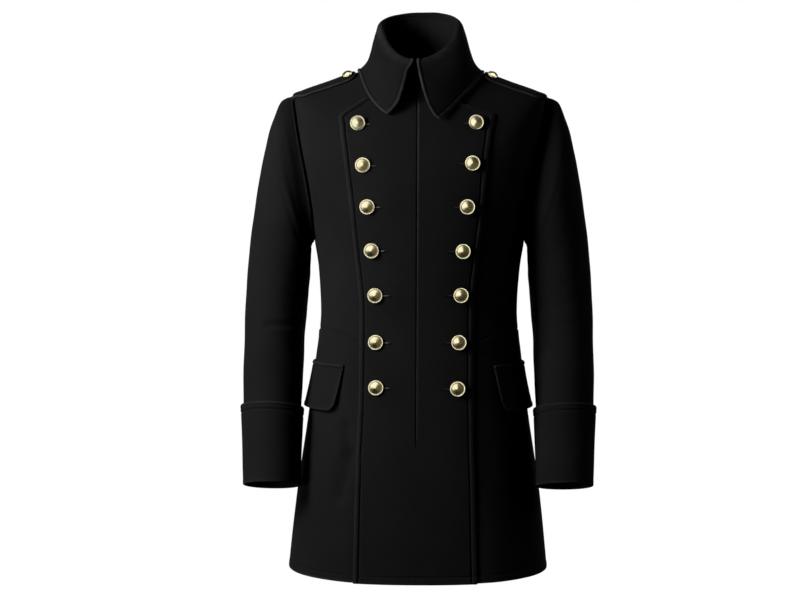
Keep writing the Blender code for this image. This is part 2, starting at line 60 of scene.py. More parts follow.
# Front panel
SLIT = 0.0008
SLIT_END = 0.224
SLIT_EASE = 0.012
PANEL_SHIFT = 0.0040
PANEL_DROP = 0.0010
UNDERLAP = 0.050
UNDERLAP_CLEAR = 4 * SLIT

# The panel's right half runs on under its left half behind the slit
SLIT_LAP = 0.0080
SLIT_LAP_LEAST = 0.9 * SLIT
SLIT_LAP_TOP = 0.915
SLIT_LAP_EASE = 0.020
SLIT_LAP_CLEAR = 0.0004
SLIT_LAP_COLUMNS = np.array([0.08, 0.5, 1.0])

# Collar
STAND_TOP = dict(
    half_width=0.061,
    front_depth=0.072,
    back_depth=0.066,
    z_side=0.066,
    z_front=-0.010,
    z_back=0.095,
)
STAND_LEAN = 1.2
NECK_SEAM = 0.0009
COLLAR_TWIST = 0.0078
FRONT_FADE = 4
PROW = 0.0110
PROW_DIP = 0.0018
PROW_SPREAD = 34.0
PROW_AT_EDGE = 0.7
ROLL_OUT = 0.010
ROLL_UP = 0.008
LEAF_CORNER = 1.8
LEAF_LIFT = 0.0066
LEAF_REST = 0.0033
LEAF_REST_START = 0.42
LEAF_REST_SPAN = 0.33
COLLAR_LENGTH = 0.5
STAND_LENGTH = 0.42
STAND_SUNK_MOST = 0.0010
STAND_GAP = np.array([0.0, 0.0, SEAM])

# Sleeves and cuffs
FRONT_SEAM = math.radians(150)
BACK_SEAM = math.radians(-120)
SLEEVE_RADIUS = 0.062
SLEEVE_LENGTH = 0.660
SLEEVE_BLEND = 0.24
SLEEVE_HEAD = 0.03
SLEEVE_SMOOTH = 0.05
CUFF_TOP = 0.872
CUFF_SLANT = 1.42
CUFF_LIFT_TOP = 0.0018

# Shoulder straps
STRAP_HALF_WIDTH = 0.022
STRAP_LAP = 0.0014
STRAP_INSET = 0.0025
STRAP_LENGTH = 0.100
STRAP_LEVEL = 0.9215
STRAP_FORWARD = 0.0200
STRAP_SEAM = (-12.0, 27.0)
STRAP_ROUND = 0.80
STRAP_NARROWING = 0.85
STRAP_SEWN = 0.20
STRAP_BUTTON_LEVEL = 0.9065
STRAP_BUTTON_FORWARD = 0.0270

# Pocket flaps
FLAP_BACK = 101.0
FLAP_TOP = -0.511
FLAP_DEPTH = 0.078
FLAP_RISE = 0.006
FLAP_FRONT_TOP = 0.122
FLAP_FRONT_BOTTOM = 0.133
FLAP_CORNER = 0.018
FLAP_LENGTH = 0.150
FLAP_LAP = 0.0016
FLAP_LIFT = 0.0060
FLAP_CURVE = 1.5

# Buttons
BUTTON_SIDES = 48
BUTTON_SEAT = 0.0004
BUTTON_FACING = 0.72
STRAP_BUTTON_SCALE = 0.7
STRAP_BUTTON_FACING = 0.25
STRAP_BUTTON_SEAT = 0.0004

# The wearer's sides, with the sign that x has there
SIDES = dict(left=1, right=-1)

# Finished edges
EDGE_STEPS = np.concatenate([[0.0, 0.0004], np.arange(0.0008, 0.0162, 0.0008)])
EDGE_RADIUS = 0.0017
EDGE_DRAW = 0.42 * WALL
GROOVE_HALF = 0.0012
PANEL_STITCH = 0.0092
COLLAR_STITCH = 0.0066
STRAP_STITCH = 0.0060
FLAP_STITCH = 0.0066
FLAP_STITCH_INSET = 0.002
CUFF_STITCH = 0.0130
HEM_STITCH = 0.0124

# Turned edges: how far in their stitch line lies, the roll up to it and the groove along it
PANEL_EDGE = (PANEL_STITCH, 0.0009, 0.0017)
PANEL_HEM = (HEM_STITCH, 0.0005, 0.0009)
HEM_EDGE = (HEM_STITCH, 0.0004, 0.0005)
COLLAR_EDGE = (COLLAR_STITCH, 0.0009, 0.0011)
STRAP_EDGE = (STRAP_STITCH, 0.0009, 0.0011)
FLAP_TOP_EDGE = (FLAP_STITCH, 0.0009, 0.0011)
FLAP_EDGE = (0.0090, 0.0006, 0.0002)
CUFF_EDGE = (CUFF_STITCH, 0.0007, 0.0013)
CUFF_FOOT = (0.0090, 0.0003, 0.0)

# Soft ridges, and grooves below 0: size, distance from the edge and half width
SEAM_GROOVE = (-0.0010, 0.0, 0.0021)
WAIST_GROOVE = (-0.0026, 0.0, 0.0018)
WAIST_STEP = (0.0012, 0.0, 0.0120)
SLIT_SWELL = (0.0007, 0.0, 0.0100)
SLIT_GROOVE = (-0.0004, 0.0, 0.0016)
HEAD_ROLL = (0.0012, 0.0100, 0.0060)
HEAD_RIDGE = (0.0014, 0.0040, 0.0018)
CUFF_GROOVE = (-0.0009, 0.0066, 0.0011)

# Wear in the same form, with its strength as the size; along the slit it also paints a highlight
HEM_WEAR = (0.6, 0.0, 0.0030)
PANEL_WEAR = (0.35, 0.0, 0.0035)
PANEL_HEM_WEAR = (0.4, 0.0, 0.0030)
# At the slit's lapped edge: rubbing and a painted highlight
SLIT_WEAR_AND_HIGHLIGHT = (0.7, 0.0, 0.0025)
COLLAR_WEAR = (1.0, 0.0, 0.0035)
STRAP_WEAR = (1.0, 0.0, 0.0030)
FLAP_WEAR = (0.35, 0.0, 0.0030)
CUFF_WEAR = (0.4, 0.0, 0.0030)
INNER_WEAR_AND_LIGHT = 0.3

# Wear of the collar's roll, as shares of the way from its top to its edge
ROLL_WEAR = (0.5, 0.12, 0.06)

# Painted highlight on the upper cord of each buttonhole: its strength, its place along the hole from under
# the button, its half length, and how much of it goes on each side, most on the wearer's right where the
# key light falls
HOLE_HIGHLIGHT = (1.0, 0.0160, 0.0045)
HOLE_HIGHLIGHT_SIDES = dict(left=0.3, right=1.0)

# Thread
STITCH_PITCH = 0.0034
STITCH_LENGTH = 0.0027
STITCH_RADIUS = 0.00030
STITCH_SIDES = 5
HOLE_LENGTH = 0.0256
HOLE_HALF = 0.0011
HOLE_DROP = 0.0017
HOLE_LIFT = 0.0001
PURL_RADIUS = 0.0008
PURL_SIDES = 6
PURL_SWELL = 0.16
PURL_STEP = 2.1
TACK_HALF = 0.0045
TACK_PITCH = 0.0008
TACK_LIFT = 0.0002
TACK_ROWS = (-2, -1, 0, 1, 2)

# Counts of points and steps
SKIRT_ROWS = 56
CHEST_ROWS = 23
ARMHOLE_ROWS = 49
LAP_COLUMNS = 7
STAND_ROWS = 22
HEAD_ROWS = 13
ARM_ROWS = 150
HOLE_END_POINTS = 9
HOLE_SIDE_POINTS = 60
TACK_POINTS = 13
ROW_SAMPLES = 121
EDGE_NEIGHBOURS = 20
HALVINGS = 40

# Colours
WOOL_DEEP = (0.0088, 0.0088, 0.0088, 1.0)
WOOL_NAP = (0.0178, 0.0178, 0.0176, 1.0)
WOOL_WEAR_AND_HIGHLIGHT = (0.052, 0.052, 0.051, 1.0)
WOOL_SHEEN = (0.85, 0.85, 0.86, 1.0)
THREAD_DEEP = (0.0035, 0.0035, 0.0035, 1.0)
THREAD_STRAND = (0.009, 0.009, 0.009, 1.0)
# Paler thread colour that paints a highlight on the buttonholes' upper cords
THREAD_HIGHLIGHT = (0.19, 0.19, 0.185, 1.0)
BRASS_DEEP = (0.62, 0.49, 0.21, 1.0)
BRASS_PALE = (0.70, 0.57, 0.27, 1.0)
BRASS_GRIME_AND_SHADE = (0.16, 0.11, 0.05, 1.0)
FLOOR_PALE = (0.86, 0.86, 0.85, 1.0)
FLOOR_DEEP = tuple(0.985 * part for part in FLOOR_PALE[:3]) + (1.0,)

# Lamps that light the cloth: place, width and power
LAMP_AIM = (0.0, -0.05, -0.38)
LAMPS = dict(
    key=((-1.10, -0.80, 0.16), 0.5, 17.5),
    key_low=((-1.30, -1.00, -0.75), 0.6, 4.5),
    fill_right=((2.20, 0.25, 0.30), 1.2, 6.0),
    rim_right=((1.2, 2.3, 0.9), 1.4, 45.0),
    rim_left=((-1.2, 2.4, 0.8), 1.4, 45.0),
)

# Pale cards that show in the brass alone: two before the coat and a ring round it
WHITE = (1.0, 1.0, 1.0)
COOL = (0.61, 0.70, 1.0)
WARM = (1.0, 0.94, 0.58)
CARDS = dict(
    card_front=((0.5, -3.2, -0.3), 4.0, 5.4, WARM),
    card_upper_left=((-0.85, -1.80, 0.33), 2.4, 36.0, COOL),
)
CARD_COUNT = 16
CARD_RING = 1.5
CARD_AIM = (0.0, -0.15, -0.35)
CARD_FORWARD = -0.30
CARD_SIZE = 0.8
CARD_POWER = 4.6


def table(names, *rows):
    """Columns by name."""
    return dict(zip(names.split(), np.array(rows, float).T))


# Rings of one stitch: share of its length, lift and size as shares of its radius
STITCH = table(
    "along lift size",
    (-0.50, -0.25, 0.5),
    (-0.22, 0.50, 1.0),
    (0.22, 0.50, 1.0),
    (0.50, -0.25, 0.5),
)

# Slow swells of the pressed cloth: size, and how fast each runs round and up the piece
BODY_WAVES = table(
    "size around up start",
    (0.00022, 2, 11, 0.7),
    (0.00022, 5, -17, 2.1),
    (0.00012, 7, 31, 4.0),
    (0.00012, 11, -43, 1.2),
)
SLEEVE_WAVES = table(
    "size around up start",
    (0.00020, 3, 40, 0.0),
    (0.00015, 5, -63, 0.0),
)
COLLAR_WAVES = table(
    "size around up start",
    (0.0005, 23, 0, 1.0),
    (0.0004, 41, 0, 0.0),
)

# Inside of the collar stand: the sunk seam at the middle of the back, then two soft folds
STAND_MARKS = table(
    "depth share half_width drift",
    (0.0012, 0.500, 0.0022, 0.00),
    (-0.0016, 0.565, 0.0090, -0.05),
    (-0.0010, 0.400, 0.0120, 0.03),
)

BODY = table(
    "level z_side half_width z_front front_depth z_back back_depth roundness",
    (0.000, -0.855, 0.2200, -0.8625, 0.149, -0.857, 0.146, 2.55),
    (0.132, -0.728, 0.2070, -0.730, 0.141, -0.730, 0.136, 2.35),
    (0.252, -0.609, 0.1895, -0.610, 0.131, -0.610, 0.124, 2.25),
    (0.362, -0.500, 0.1755, -0.500, 0.122, -0.500, 0.108, 2.20),
    (0.442, -0.420, 0.1673, -0.420, 0.117, -0.420, 0.098, 2.20),
    (0.510, -0.352, 0.1716, -0.352, 0.121, -0.352, 0.104, 2.20),
    (0.560, -0.302, 0.1795, -0.304, 0.126, -0.302, 0.112, 2.25),
    (0.650, -0.215, 0.1960, -0.235, 0.129, -0.215, 0.121, 2.30),
    (0.735, -0.130, 0.2090, -0.187, 0.124, -0.140, 0.119, 2.30),
    (0.810, -0.0555, 0.2150, -0.147, 0.115, -0.075, 0.105, 2.20),
    (0.832, -0.0480, 0.1990, -0.136, 0.112, -0.060, 0.101, 2.20),
    (0.879, -0.031, 0.1510, -0.115, 0.106, -0.031, 0.090, 2.15),
    (0.946, -0.006, 0.0880, -0.085, 0.095, 0.006, 0.072, 2.05),
    (0.960, 0.000, 0.0750, -0.075, 0.090, 0.012, 0.065, 2.00),
)

# Soft folds of the skirt and back, each a long swell on the form
FOLDS = table(
    "angle level half_angle half_length lift",
    (-40.0, 0.060, 9.0, 0.130, 0.0030),
    (43.0, 0.040, 9.0, 0.120, 0.0025),
    (-124.0, 0.040, 14.0, 0.160, 0.0045),
    (121.0, 0.030, 14.0, 0.170, 0.0045),
    (-162.0, 0.050, 12.0, 0.190, 0.0045),
    (160.0, 0.040, 12.0, 0.180, 0.0045),
)

# Creases of the body: each a soft trough between two places, with its half width and depth
CREASES = table(
    "angle level end_angle end_level half_width depth",
    (-47.5, 0.250, -43.5, 0.205, 0.0095, 0.0074),
    (-43.5, 0.205, -47.0, 0.135, 0.0105, 0.0062),
    (46.0, 0.235, 43.0, 0.160, 0.0110, 0.0012),
    (-79.0, 0.372, -66.0, 0.376, 0.0050, 0.0009),
    (80.0, 0.374, 68.0, 0.377, 0.0055, 0.0008),
    (-74.0, 0.548, -60.0, 0.520, 0.0090, 0.0012),
    (73.0, 0.545, 62.0, 0.512, 0.0100, 0.0011),
    (-63.0, 0.640, -54.0, 0.600, 0.0110, 0.0008),
    (64.0, 0.652, 56.0, 0.605, 0.0110, 0.0008),
    (-96.0, 0.462, -128.0, 0.446, 0.0100, 0.0021),
    (-103.0, 0.425, -140.0, 0.418, 0.0110, 0.0017),
    (97.0, 0.455, 133.0, 0.440, 0.0100, 0.0020),
    (108.0, 0.484, 138.0, 0.470, 0.0100, 0.0014),
    (104.0, 0.414, 126.0, 0.405, 0.0090, 0.0012),
    (-112.0, 0.600, -140.0, 0.560, 0.0120, 0.0016),
    (113.0, 0.610, 143.0, 0.555, 0.0120, 0.0018),
    (-116.0, 0.690, -138.0, 0.640, 0.0130, 0.0012),
    (118.0, 0.680, 136.0, 0.650, 0.0120, 0.0011),
    (-143.0, 0.300, -146.0, 0.120, 0.0150, 0.0020),
    (140.0, 0.280, 143.0, 0.090, 0.0150, 0.0022),
    (-104.0, 0.210, -106.0, 0.070, 0.0140, 0.0016),
    (101.0, 0.190, 103.0, 0.060, 0.0140, 0.0017),
)
CREASE_RADIUS = 0.135
CREASE_SHOULDER = 0.35
CREASE_SPREAD = 5

# Creases of each sleeve: turn from the outer line over the front, and reach from the armhole
SLEEVE_CREASES = dict(
    right=table(
        "turn reach end_turn end_reach half_width depth",
        (80.0, 0.691, 135.0, 0.661, 0.0052, 0.0042),
        (115.0, 0.630, 165.0, 0.612, 0.0075, 0.0016),
        (120.0, 0.560, 160.0, 0.548, 0.0090, 0.0012),
        (60.0, 0.200, 125.0, 0.300, 0.0150, 0.0004),
        (-30.0, 0.585, -75.0, 0.600, 0.0090, 0.0014),
        (-45.0, 0.650, -95.0, 0.640, 0.0090, 0.0016),
        (205.0, 0.590, 235.0, 0.560, 0.0100, 0.0014),
        (-60.0, 0.190, -100.0, 0.330, 0.0130, 0.0014),
        (30.0, 0.770, 70.0, 0.790, 0.0110, 0.0009),
    ),
    left=table(
        "turn reach end_turn end_reach half_width depth",
        (96.0, 0.632, 160.0, 0.600, 0.0085, 0.0018),
        (75.0, 0.690, 130.0, 0.668, 0.0090, 0.0014),
        (40.0, 0.560, 95.0, 0.580, 0.0110, 0.0012),
        (65.0, 0.210, 118.0, 0.310, 0.0150, 0.0004),
        (-35.0, 0.600, -80.0, 0.612, 0.0095, 0.0015),
        (-50.0, 0.665, -100.0, 0.650, 0.0090, 0.0014),
        (200.0, 0.600, 232.0, 0.572, 0.0100, 0.0014),
        (-65.0, 0.200, -98.0, 0.320, 0.0130, 0.0012),
        (25.0, 0.780, 62.0, 0.760, 0.0110, 0.0010),
    ),
)

# Seam across each side front above the pocket, from the side to the panel
WAIST_SEAM = table(
    "angle level",
    (0.0, 0.391),
    (44.2, 0.391),
    (53.5, 0.4008),
    (76.9, 0.4100),
    (110.0, 0.4100),
)
WAIST_SHOWN = dict(left=0.4, right=1.0)
WAIST_MARGIN = 0.004
WAIST_ROW = 0.0009
SHOULDER_ROW = 0.004

PANEL = table(
    "level right left",
    (0.000, 0.0995, 0.0995),
    (0.132, 0.0967, 0.0967),
    (0.252, 0.0937, 0.0937),
    (0.362, 0.0930, 0.0930),
    (0.442, 0.0930, 0.0930),
    (0.510, 0.0985, 0.0985),
    (0.560, 0.1040, 0.1040),
    (0.650, 0.1122, 0.1114),
    (0.735, 0.1205, 0.1168),
    (0.790, 0.1266, 0.1222),
    (0.830, 0.1325, 0.1296),
)
PANEL_TOP = table(
    "level right left",
    (0.830, 0.1325, 0.1296),
    (0.846, 0.1250, 0.1292),
    (0.870, 0.1078, 0.1078),
    (0.910, 0.0817, 0.0720),
    (0.960, 0.0290, 0.0280),
)

SLEEVE = table(
    "reach outer_x outer_z inner_x inner_z middle_y half_depth pitch",
    (0.00, 0.2150, -0.0545, 0.1790, -0.3020, 0.000, 0.0580, 0.0),
    (0.06, 0.2350, -0.0615, 0.1825, -0.3050, 0.000, 0.0620, 0.0),
    (0.14, 0.2500, -0.0930, 0.1842, -0.3095, 0.000, 0.0670, 0.0),
    (0.22, 0.2610, -0.1310, 0.1852, -0.3165, 0.000, 0.0700, 0.0),
    (0.34, 0.2740, -0.1950, 0.1862, -0.3380, 0.003, 0.0710, 0.0),
    (0.47, 0.2868, -0.2800, 0.1885, -0.3750, 0.006, 0.0690, 2.0),
    (0.60, 0.2955, -0.3720, 0.1930, -0.4250, 0.006, 0.0650, 5.0),
    (0.70, 0.2980, -0.4500, 0.1962, -0.4800, -0.002, 0.0610, 9.0),
    (0.80, 0.2975, -0.5300, 0.1968, -0.5400, -0.022, 0.0570, 12.0),
    (0.88, 0.2950, -0.5900, 0.1985, -0.5920, -0.040, 0.0535, 14.0),
    (0.94, 0.2918, -0.6510, 0.1990, -0.6510, -0.056, 0.0500, 14.0),
    (1.00, 0.2882, -0.7125, 0.1985, -0.7125, -0.073, 0.0470, 14.0),
)

ROLL = table(
    "out rise",
    (0.04, 0.55),
    (0.30, 0.92),
    (0.70, 0.92),
    (1.00, 0.50),
)
FALL = table(
    "drop spread front_spread left_sweep right_sweep",
    (0.16, 0.14, 0.28, 0.02, 0.21),
    (0.36, 0.27, 0.58, 0.11, 0.32),
    (0.58, 0.38, 0.82, 0.25, 0.44),
    (0.80, 0.54, 0.96, 0.47, 0.61),
    (0.93, 0.75, 1.00, 0.71, 0.82),
    (1.00, 1.00, 1.00, 1.00, 1.00),
)
RIM = table(
    "angle lift",
    (0.0, 0.0000),
    (60.0, 0.0000),
    (100.0, 0.0030),
    (130.0, 0.0044),
    (150.0, 0.0038),
    (180.0, 0.0010),
    (205.0, 0.0011),
    (230.0, 0.0016),
    (250.0, 0.0012),
    (285.0, 0.0000),
    (360.0, 0.0000),
)
LEAVES = table(
    "share point level dip power",
    (0.0, 15.6, 0.9212, 0.0511, 12.3),
    (1.0, 333.4, 0.9280, 0.0411, 1.65),
)

BUTTONS = table(
    "right_x right_z left_x left_z",
    (0.1027, -0.1152, 0.0937, -0.1131),
    (0.0922, -0.1842, 0.0861, -0.1804),
    (0.0840, -0.2517, 0.0770, -0.2512),
    (0.0771, -0.3226, 0.0701, -0.3232),
    (0.0712, -0.3961, 0.0675, -0.3953),
    (0.0699, -0.4733, 0.0644, -0.4731),
    (0.0688, -0.5472, 0.0629, -0.5485),
)

# Turned button from the foot of its shank to the crown: an outer edge and underside darkened as painted
# shade, a bright sloped rim, a groove darkened with grime and a low dome
BUTTON = table(
    "radius height grime",
    (0.0040, 0.0000, 1.0),
    (0.0040, 0.0024, 1.0),
    (0.0092, 0.0027, 1.0),
    (0.0112, 0.0029, 1.0),
    (0.0121, 0.0031, 1.0),
    (0.0126, 0.0035, 1.0),
    (0.0126, 0.0039, 0.9),
    (0.0123, 0.0044, 0.6),
    (0.0119, 0.0049, 0.0),
    (0.0113, 0.0054, 0.0),
    (0.0106, 0.0060, 0.0),
    (0.0103, 0.0061, 0.1),
    (0.0101, 0.0060, 0.7),
    (0.0098, 0.0058, 1.0),
    (0.0095, 0.0060, 0.7),
    (0.0091, 0.0062, 0.2),
    (0.0083, 0.0064, 0.0),
    (0.0070, 0.0068, 0.0),
    (0.0056, 0.0072, 0.0),
    (0.0042, 0.0076, 0.0),
    (0.0028, 0.0080, 0.0),
    (0.0016, 0.00825, 0.0),
    (0.0007, 0.00837, 0.0),
)
BUTTON_CROWN = 0.0084


def bent(t, step, k, values, slope):
    """Curve from row k to the row after it, at the share t of the step, that takes up their slopes."""
    ends = (1 + 2 * t) * (1 - t) ** 2 * values[k] + t * t * (3 - 2 * t) * values[k + 1]
    return ends + step * (t * (1 - t) ** 2 * slope[k] - t * t * (1 - t) * slope[k + 1])


def smooth(at, x, y):
    """Curve through the rows x, y that keeps between them."""
    step = np.diff(x)
    rise = np.diff(y) / step
    same_way = rise[1:] * rise[:-1] > 0
    total = np.where(same_way, rise[1:] + rise[:-1], 1.0)
    inner = np.where(same_way, 2 * rise[1:] * rise[:-1] / total, 0.0)
    slope = np.concatenate([rise[:1], inner, rise[-1:]])
    k = np.clip(np.searchsorted(x, at) - 1, 0, len(x) - 2)
    return bent((at - x[k]) / step[k], step[k], k, y, slope)


def section(rows, at):
    """Every column of a table, at places along its first column."""
    key = next(iter(rows))
    return {name: smooth(at, rows[key], column) for name, column in rows.items()}


def ring(girth, angle, lean=2.0):
    """Point of a girth, where angle runs from the centre front toward +X."""
    front = np.cos(angle) > 0
    depth = np.where(front, girth["front_depth"], girth["back_depth"])
    z_middle = np.where(front, girth["z_front"], girth["z_back"])
    power = girth.get("roundness", 2.0)
    along = (np.abs(np.cos(angle)) / depth) ** power
    across = (np.abs(np.sin(angle)) / girth["half_width"]) ** power
    reach = (along + across) ** (-1 / power)
    x = reach * np.sin(angle)
    y = -reach * np.cos(angle)
    z = girth["z_side"] + (z_middle - girth["z_side"]) * np.abs(y / depth) ** lean
    return np.stack([x, y, z], -1)


def softened(level, angle):
    """Girth point, with the turn at the shoulder tip eased toward the front and back."""
    near = np.clip(1 - np.abs(level - TIP) / SOFT_SPAN, 0, 1)
    reach = SOFT_REACH * np.sin(near * math.pi / 2) ** 2 * np.abs(np.cos(angle))
    steps = (-2, -1, 0, 1, 2)
    points = [(3 - abs(i)) / 9 * ring(section(BODY, level + reach * i / 2), angle) for i in steps]
    return sum(points)


def hollow(u, v, ends):
    """Depth of soft troughs at places u, v in metres. Each row of ends is u, v, u, v, half width, depth."""
    depth = 0.0
    for u0, v0, u1, v1, half_width, deep in ends:
        span_u = u1 - u0
        span_v = v1 - v0
        share = np.clip(((u - u0) * span_u + (v - v0) * span_v) / (span_u**2 + span_v**2), 0, 1)
        off_u = u - u0 - share * span_u
        off_v = v - v0 - share * span_v
        away = (off_u**2 + off_v**2) / half_width**2
        depth = depth + deep * (np.exp(-away) - CREASE_SHOULDER * np.exp(-away / CREASE_SPREAD))
    return depth


def crease_ends(rows, u_scale, v_scale):
    """Rows for hollow, from creases that are given by turn and by height or reach."""
    u0, v0, u1, v1, half_width, depth = rows.values()
    turns = np.radians([u0, u1]) * u_scale
    return list(zip(turns[0], v0 * v_scale, turns[1], v1 * v_scale, half_width, depth))


BODY_CREASES = crease_ends(CREASES, CREASE_RADIUS, 1.0)


def waves(rows, around, up):
    """Sum of the slow swells in the rows, at places round and up a piece."""
    total = 0.0
    for size, turns, climbs, start in zip(*rows.values()):
        total = total + size * np.sin(turns * around + climbs * up + start)
    return total


def unit(vectors):
    """The vectors at a length of 1."""
    return vectors / np.linalg.norm(vectors, axis=-1, keepdims=True)


def form(level, angle):
    """Point of the worn form, with its soft folds and creases."""
    point = softened(level, angle)
    swell = waves(BODY_WAVES, angle, level)
    for turn, middle, half_angle, half_length, lift in zip(*FOLDS.values()):
        off = (angle - math.radians(turn) + math.pi) % math.tau - math.pi
        across = (off / math.radians(half_angle)) ** 2
        up = ((level - middle) / half_length) ** 2
        swell = swell + lift * np.exp(-across - up)
    wrapped = (angle + math.pi) % math.tau - math.pi
    swell = swell - hollow(wrapped * CREASE_RADIUS, level, BODY_CREASES)
    point[..., 0] += swell * np.sin(angle)
    point[..., 1] -= swell * np.cos(angle)
    return point


def cloth_normal(level, angle):
    """Points of the form and its normals."""
    level, angle = np.broadcast_arrays(level, angle)
    nudge = 1e-4
    round_it = form(level, angle + nudge) - form(level, angle - nudge)
    up = form(level + nudge, angle) - form(level - nudge, angle)
    return form(level, angle), unit(np.cross(round_it, up))


def angle_at(level, x):
    """Angle on the front where the form lies x from the middle."""
    girth = section(BODY, level)
    power = girth["roundness"]
    share = 1 - (np.abs(x) / girth["half_width"]) ** power
    y = girth["front_depth"] * share ** (1 / power)
    return np.arctan2(x, y)


def angle_beside(level, y):
    """Angle near the side line where the form lies y behind it."""
    girth = section(BODY, level)
    power = girth["roundness"]
    depth = np.where(y < 0, girth["front_depth"], girth["back_depth"])
    x = girth["half_width"] * (1 - (np.abs(y) / depth) ** power) ** (1 / power)
    return np.arctan2(x, -y)


def place(x, z):
    """Level and angle of the point on the front with this x and z."""
    low, high = 0.0, NECK
    for _ in range(HALVINGS):
        level = (low + high) / 2
        if ring(section(BODY, level), angle_at(level, x))[2] < z:
            low = level
        else:
            high = level
    return level, float(angle_at(level, x))


def armhole(turn, inside=0.0):
    """Level and angle of the left armhole, where turn runs from its tip over the front."""
    half = ARMHOLE_HALF - inside
    width = np.where(np.sin(turn) > 0, ARMHOLE_FRONT, ARMHOLE_BACK) - ARMHOLE_SWELL * np.cos(turn)
    level = ARMHOLE_MIDDLE + half * np.cos(turn)
    angle = math.pi / 2 - np.radians(width) * np.sin(turn)
    return level, angle + inside / section(BODY, level)["half_width"] * np.sin(turn)


def side_edge(level, way):
    """Angle of a panel's outer edge: side seam, then armhole, then shoulder seam."""
    turn = way * np.arccos(np.clip((level - ARMHOLE_MIDDLE) / ARMHOLE_HALF, -1, 1))
    angle = armhole(turn)[1]
    gap = np.where((level > ARMPIT) & (level < TIP), SEAM / 2, 0.0)
    return angle - way * gap / section(BODY, level)["half_width"]


def panel_edge(level, side):
    """Half width of the front panel at a level, with a corner where its top edge starts."""
    wide = smooth(level, PANEL["level"], PANEL[side])
    top = np.interp(level, PANEL_TOP["level"], PANEL_TOP[side])
    return np.where(level > PANEL_TOP["level"][0], top, wide)


def body_levels():
    """Rows of the body pieces from hem to neck, close together at the hem and where the armhole turns."""
    low = WAIST_SEAM["level"].min() - WAIST_MARGIN
    high = WAIST_SEAM["level"].max() + WAIST_MARGIN
    skirt = np.linspace(EDGE_STEPS[-1], low, SKIRT_ROWS)[1:-1]
    waist = np.arange(low, high, WAIST_ROW)
    chest = np.linspace(high, ARMPIT, CHEST_ROWS)
    turns = np.linspace(math.pi, 0, ARMHOLE_ROWS)[1:]
    tops = np.concatenate([[TIP], PANEL_TOP["level"]])
    spans = zip(tops[:-1], tops[1:])
    shoulder = [np.linspace(a, b, 2 + round((b - a) / SHOULDER_ROW))[1:] for a, b in spans]
    return np.concatenate([EDGE_STEPS, skirt, waist, chest, armhole(turns)[0], *shoulder])


def spaced(length, middle, low=True):
    """Distances from 0 to each length, close together at its end and, if low says so, at its start."""
    length = np.asarray(length, float)[..., None]
    start = EDGE_STEPS if low else EDGE_STEPS[:1]
    share = np.linspace(0, 1, middle + 2)[1:-1]
    between = start[-1] + (length - start[-1] - EDGE_STEPS[-1]) * share
    first = np.broadcast_to(start, length.shape[:-1] + start.shape)
    return np.concatenate([first, between, length - EDGE_STEPS[::-1]], -1)


def row_angles(level, low, high, middle, fine_low=True):
    """Angles on each row from low to high, spaced by the cloth's own length."""
    share = np.linspace(0, 1, ROW_SAMPLES)
    angle = low[:, None] + (high - low)[:, None] * share
    step = np.linalg.norm(np.diff(softened(level[:, None], angle), axis=1), axis=-1)
    along = np.concatenate([np.zeros((len(level), 1)), np.cumsum(step, 1)], 1)
    at = spaced(along[:, -1], middle, fine_low)
    return np.array([np.interp(*row) for row in zip(at, along, angle)])


def normals(grid, closed=False):
    """Normals of a grid of points, to the side that columns crossed with rows point to."""
    if closed:
        across = np.roll(grid, -1, 1) - np.roll(grid, 1, 1)
    else:
        across = np.gradient(grid, axis=1)
    return unit(np.cross(across, np.gradient(grid, axis=0)))


def mirrored(points, way):
    """The points as they are, or with left and right changed over if way is -1."""
    return points * np.array([way, 1.0, 1.0])


def away_from(grid, line):
    """How far the points of each row are from a line that has one point for each row."""
    count = len(line)
    best = np.full(grid.shape[:2], np.inf)
    for step in range(-EDGE_NEIGHBOURS, EDGE_NEIGHBOURS):
        at = np.clip(np.arange(count) + step, 0, count - 2)
        start = line[at][:, None]
        span = line[at + 1][:, None] - start
        share = ((grid - start) * span).sum(-1) / np.maximum((span * span).sum(-1), 1e-14)
        nearest = start + np.clip(share, 0, 1)[..., None] * span
        best = np.minimum(best, np.linalg.norm(grid - nearest, axis=-1))
    return best


def away_from_column(grid, column):
    return away_from(grid, grid[:, column])


def away_from_row(grid, row):
    return away_from(grid.swapaxes(0, 1), grid[row]).T


def away_from_sides(grid):
    """How far the points are from the first column, and from the last."""
    return [away_from_column(grid, 0), away_from_column(grid, -1)]


def bell(away, size, at, half):
    """Soft ridge at a distance from an edge, or a groove if its size is below 0."""
    return size * np.exp(-(((away - at) / half) ** 2))


def turned(away, stitch, roll, groove):
    """Relief of a turned edge: a soft roll up to the sunk stitch line."""
    swell = roll * np.sin(math.pi * np.clip(away / stitch, 0, 1))
    return swell - bell(away, groove, stitch, GROOVE_HALF)


def rounding(away):
    """How far the two faces of the cloth are drawn together toward a turned edge."""
    short = 1 - np.clip(away / EDGE_RADIUS, 0, 1)
    return EDGE_DRAW * (1 - np.sqrt(1 - short**2))


def two_faces(base, normal, relief, draw):
    """Outer and inner points of cloth on base, with its relief and its edges drawn together."""
    outer = base + normal * (relief - draw)[..., None]
    inner = base - normal * (WALL - draw)[..., None]
    return outer, inner


def new_object(name, points, faces, material, wear_and_painted_light=None):
    """Smooth object from lists of points and faces. The wear and painted light, if there is any, has one
    value for each point.
    """
    mesh = bpy.data.meshes.new(name)
    mesh.from_pydata(points.tolist(), [], faces)
    mesh.shade_smooth()
    mesh.materials.append(material)
    if wear_and_painted_light is not None:
        mesh.attributes.new("wear_and_painted_light", "FLOAT", "POINT").data.foreach_set("value", wear_and_painted_light.astype(np.float32))
    item = bpy.data.objects.new(name, mesh)
    bpy.context.scene.collection.objects.link(item)
    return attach(item, "root")


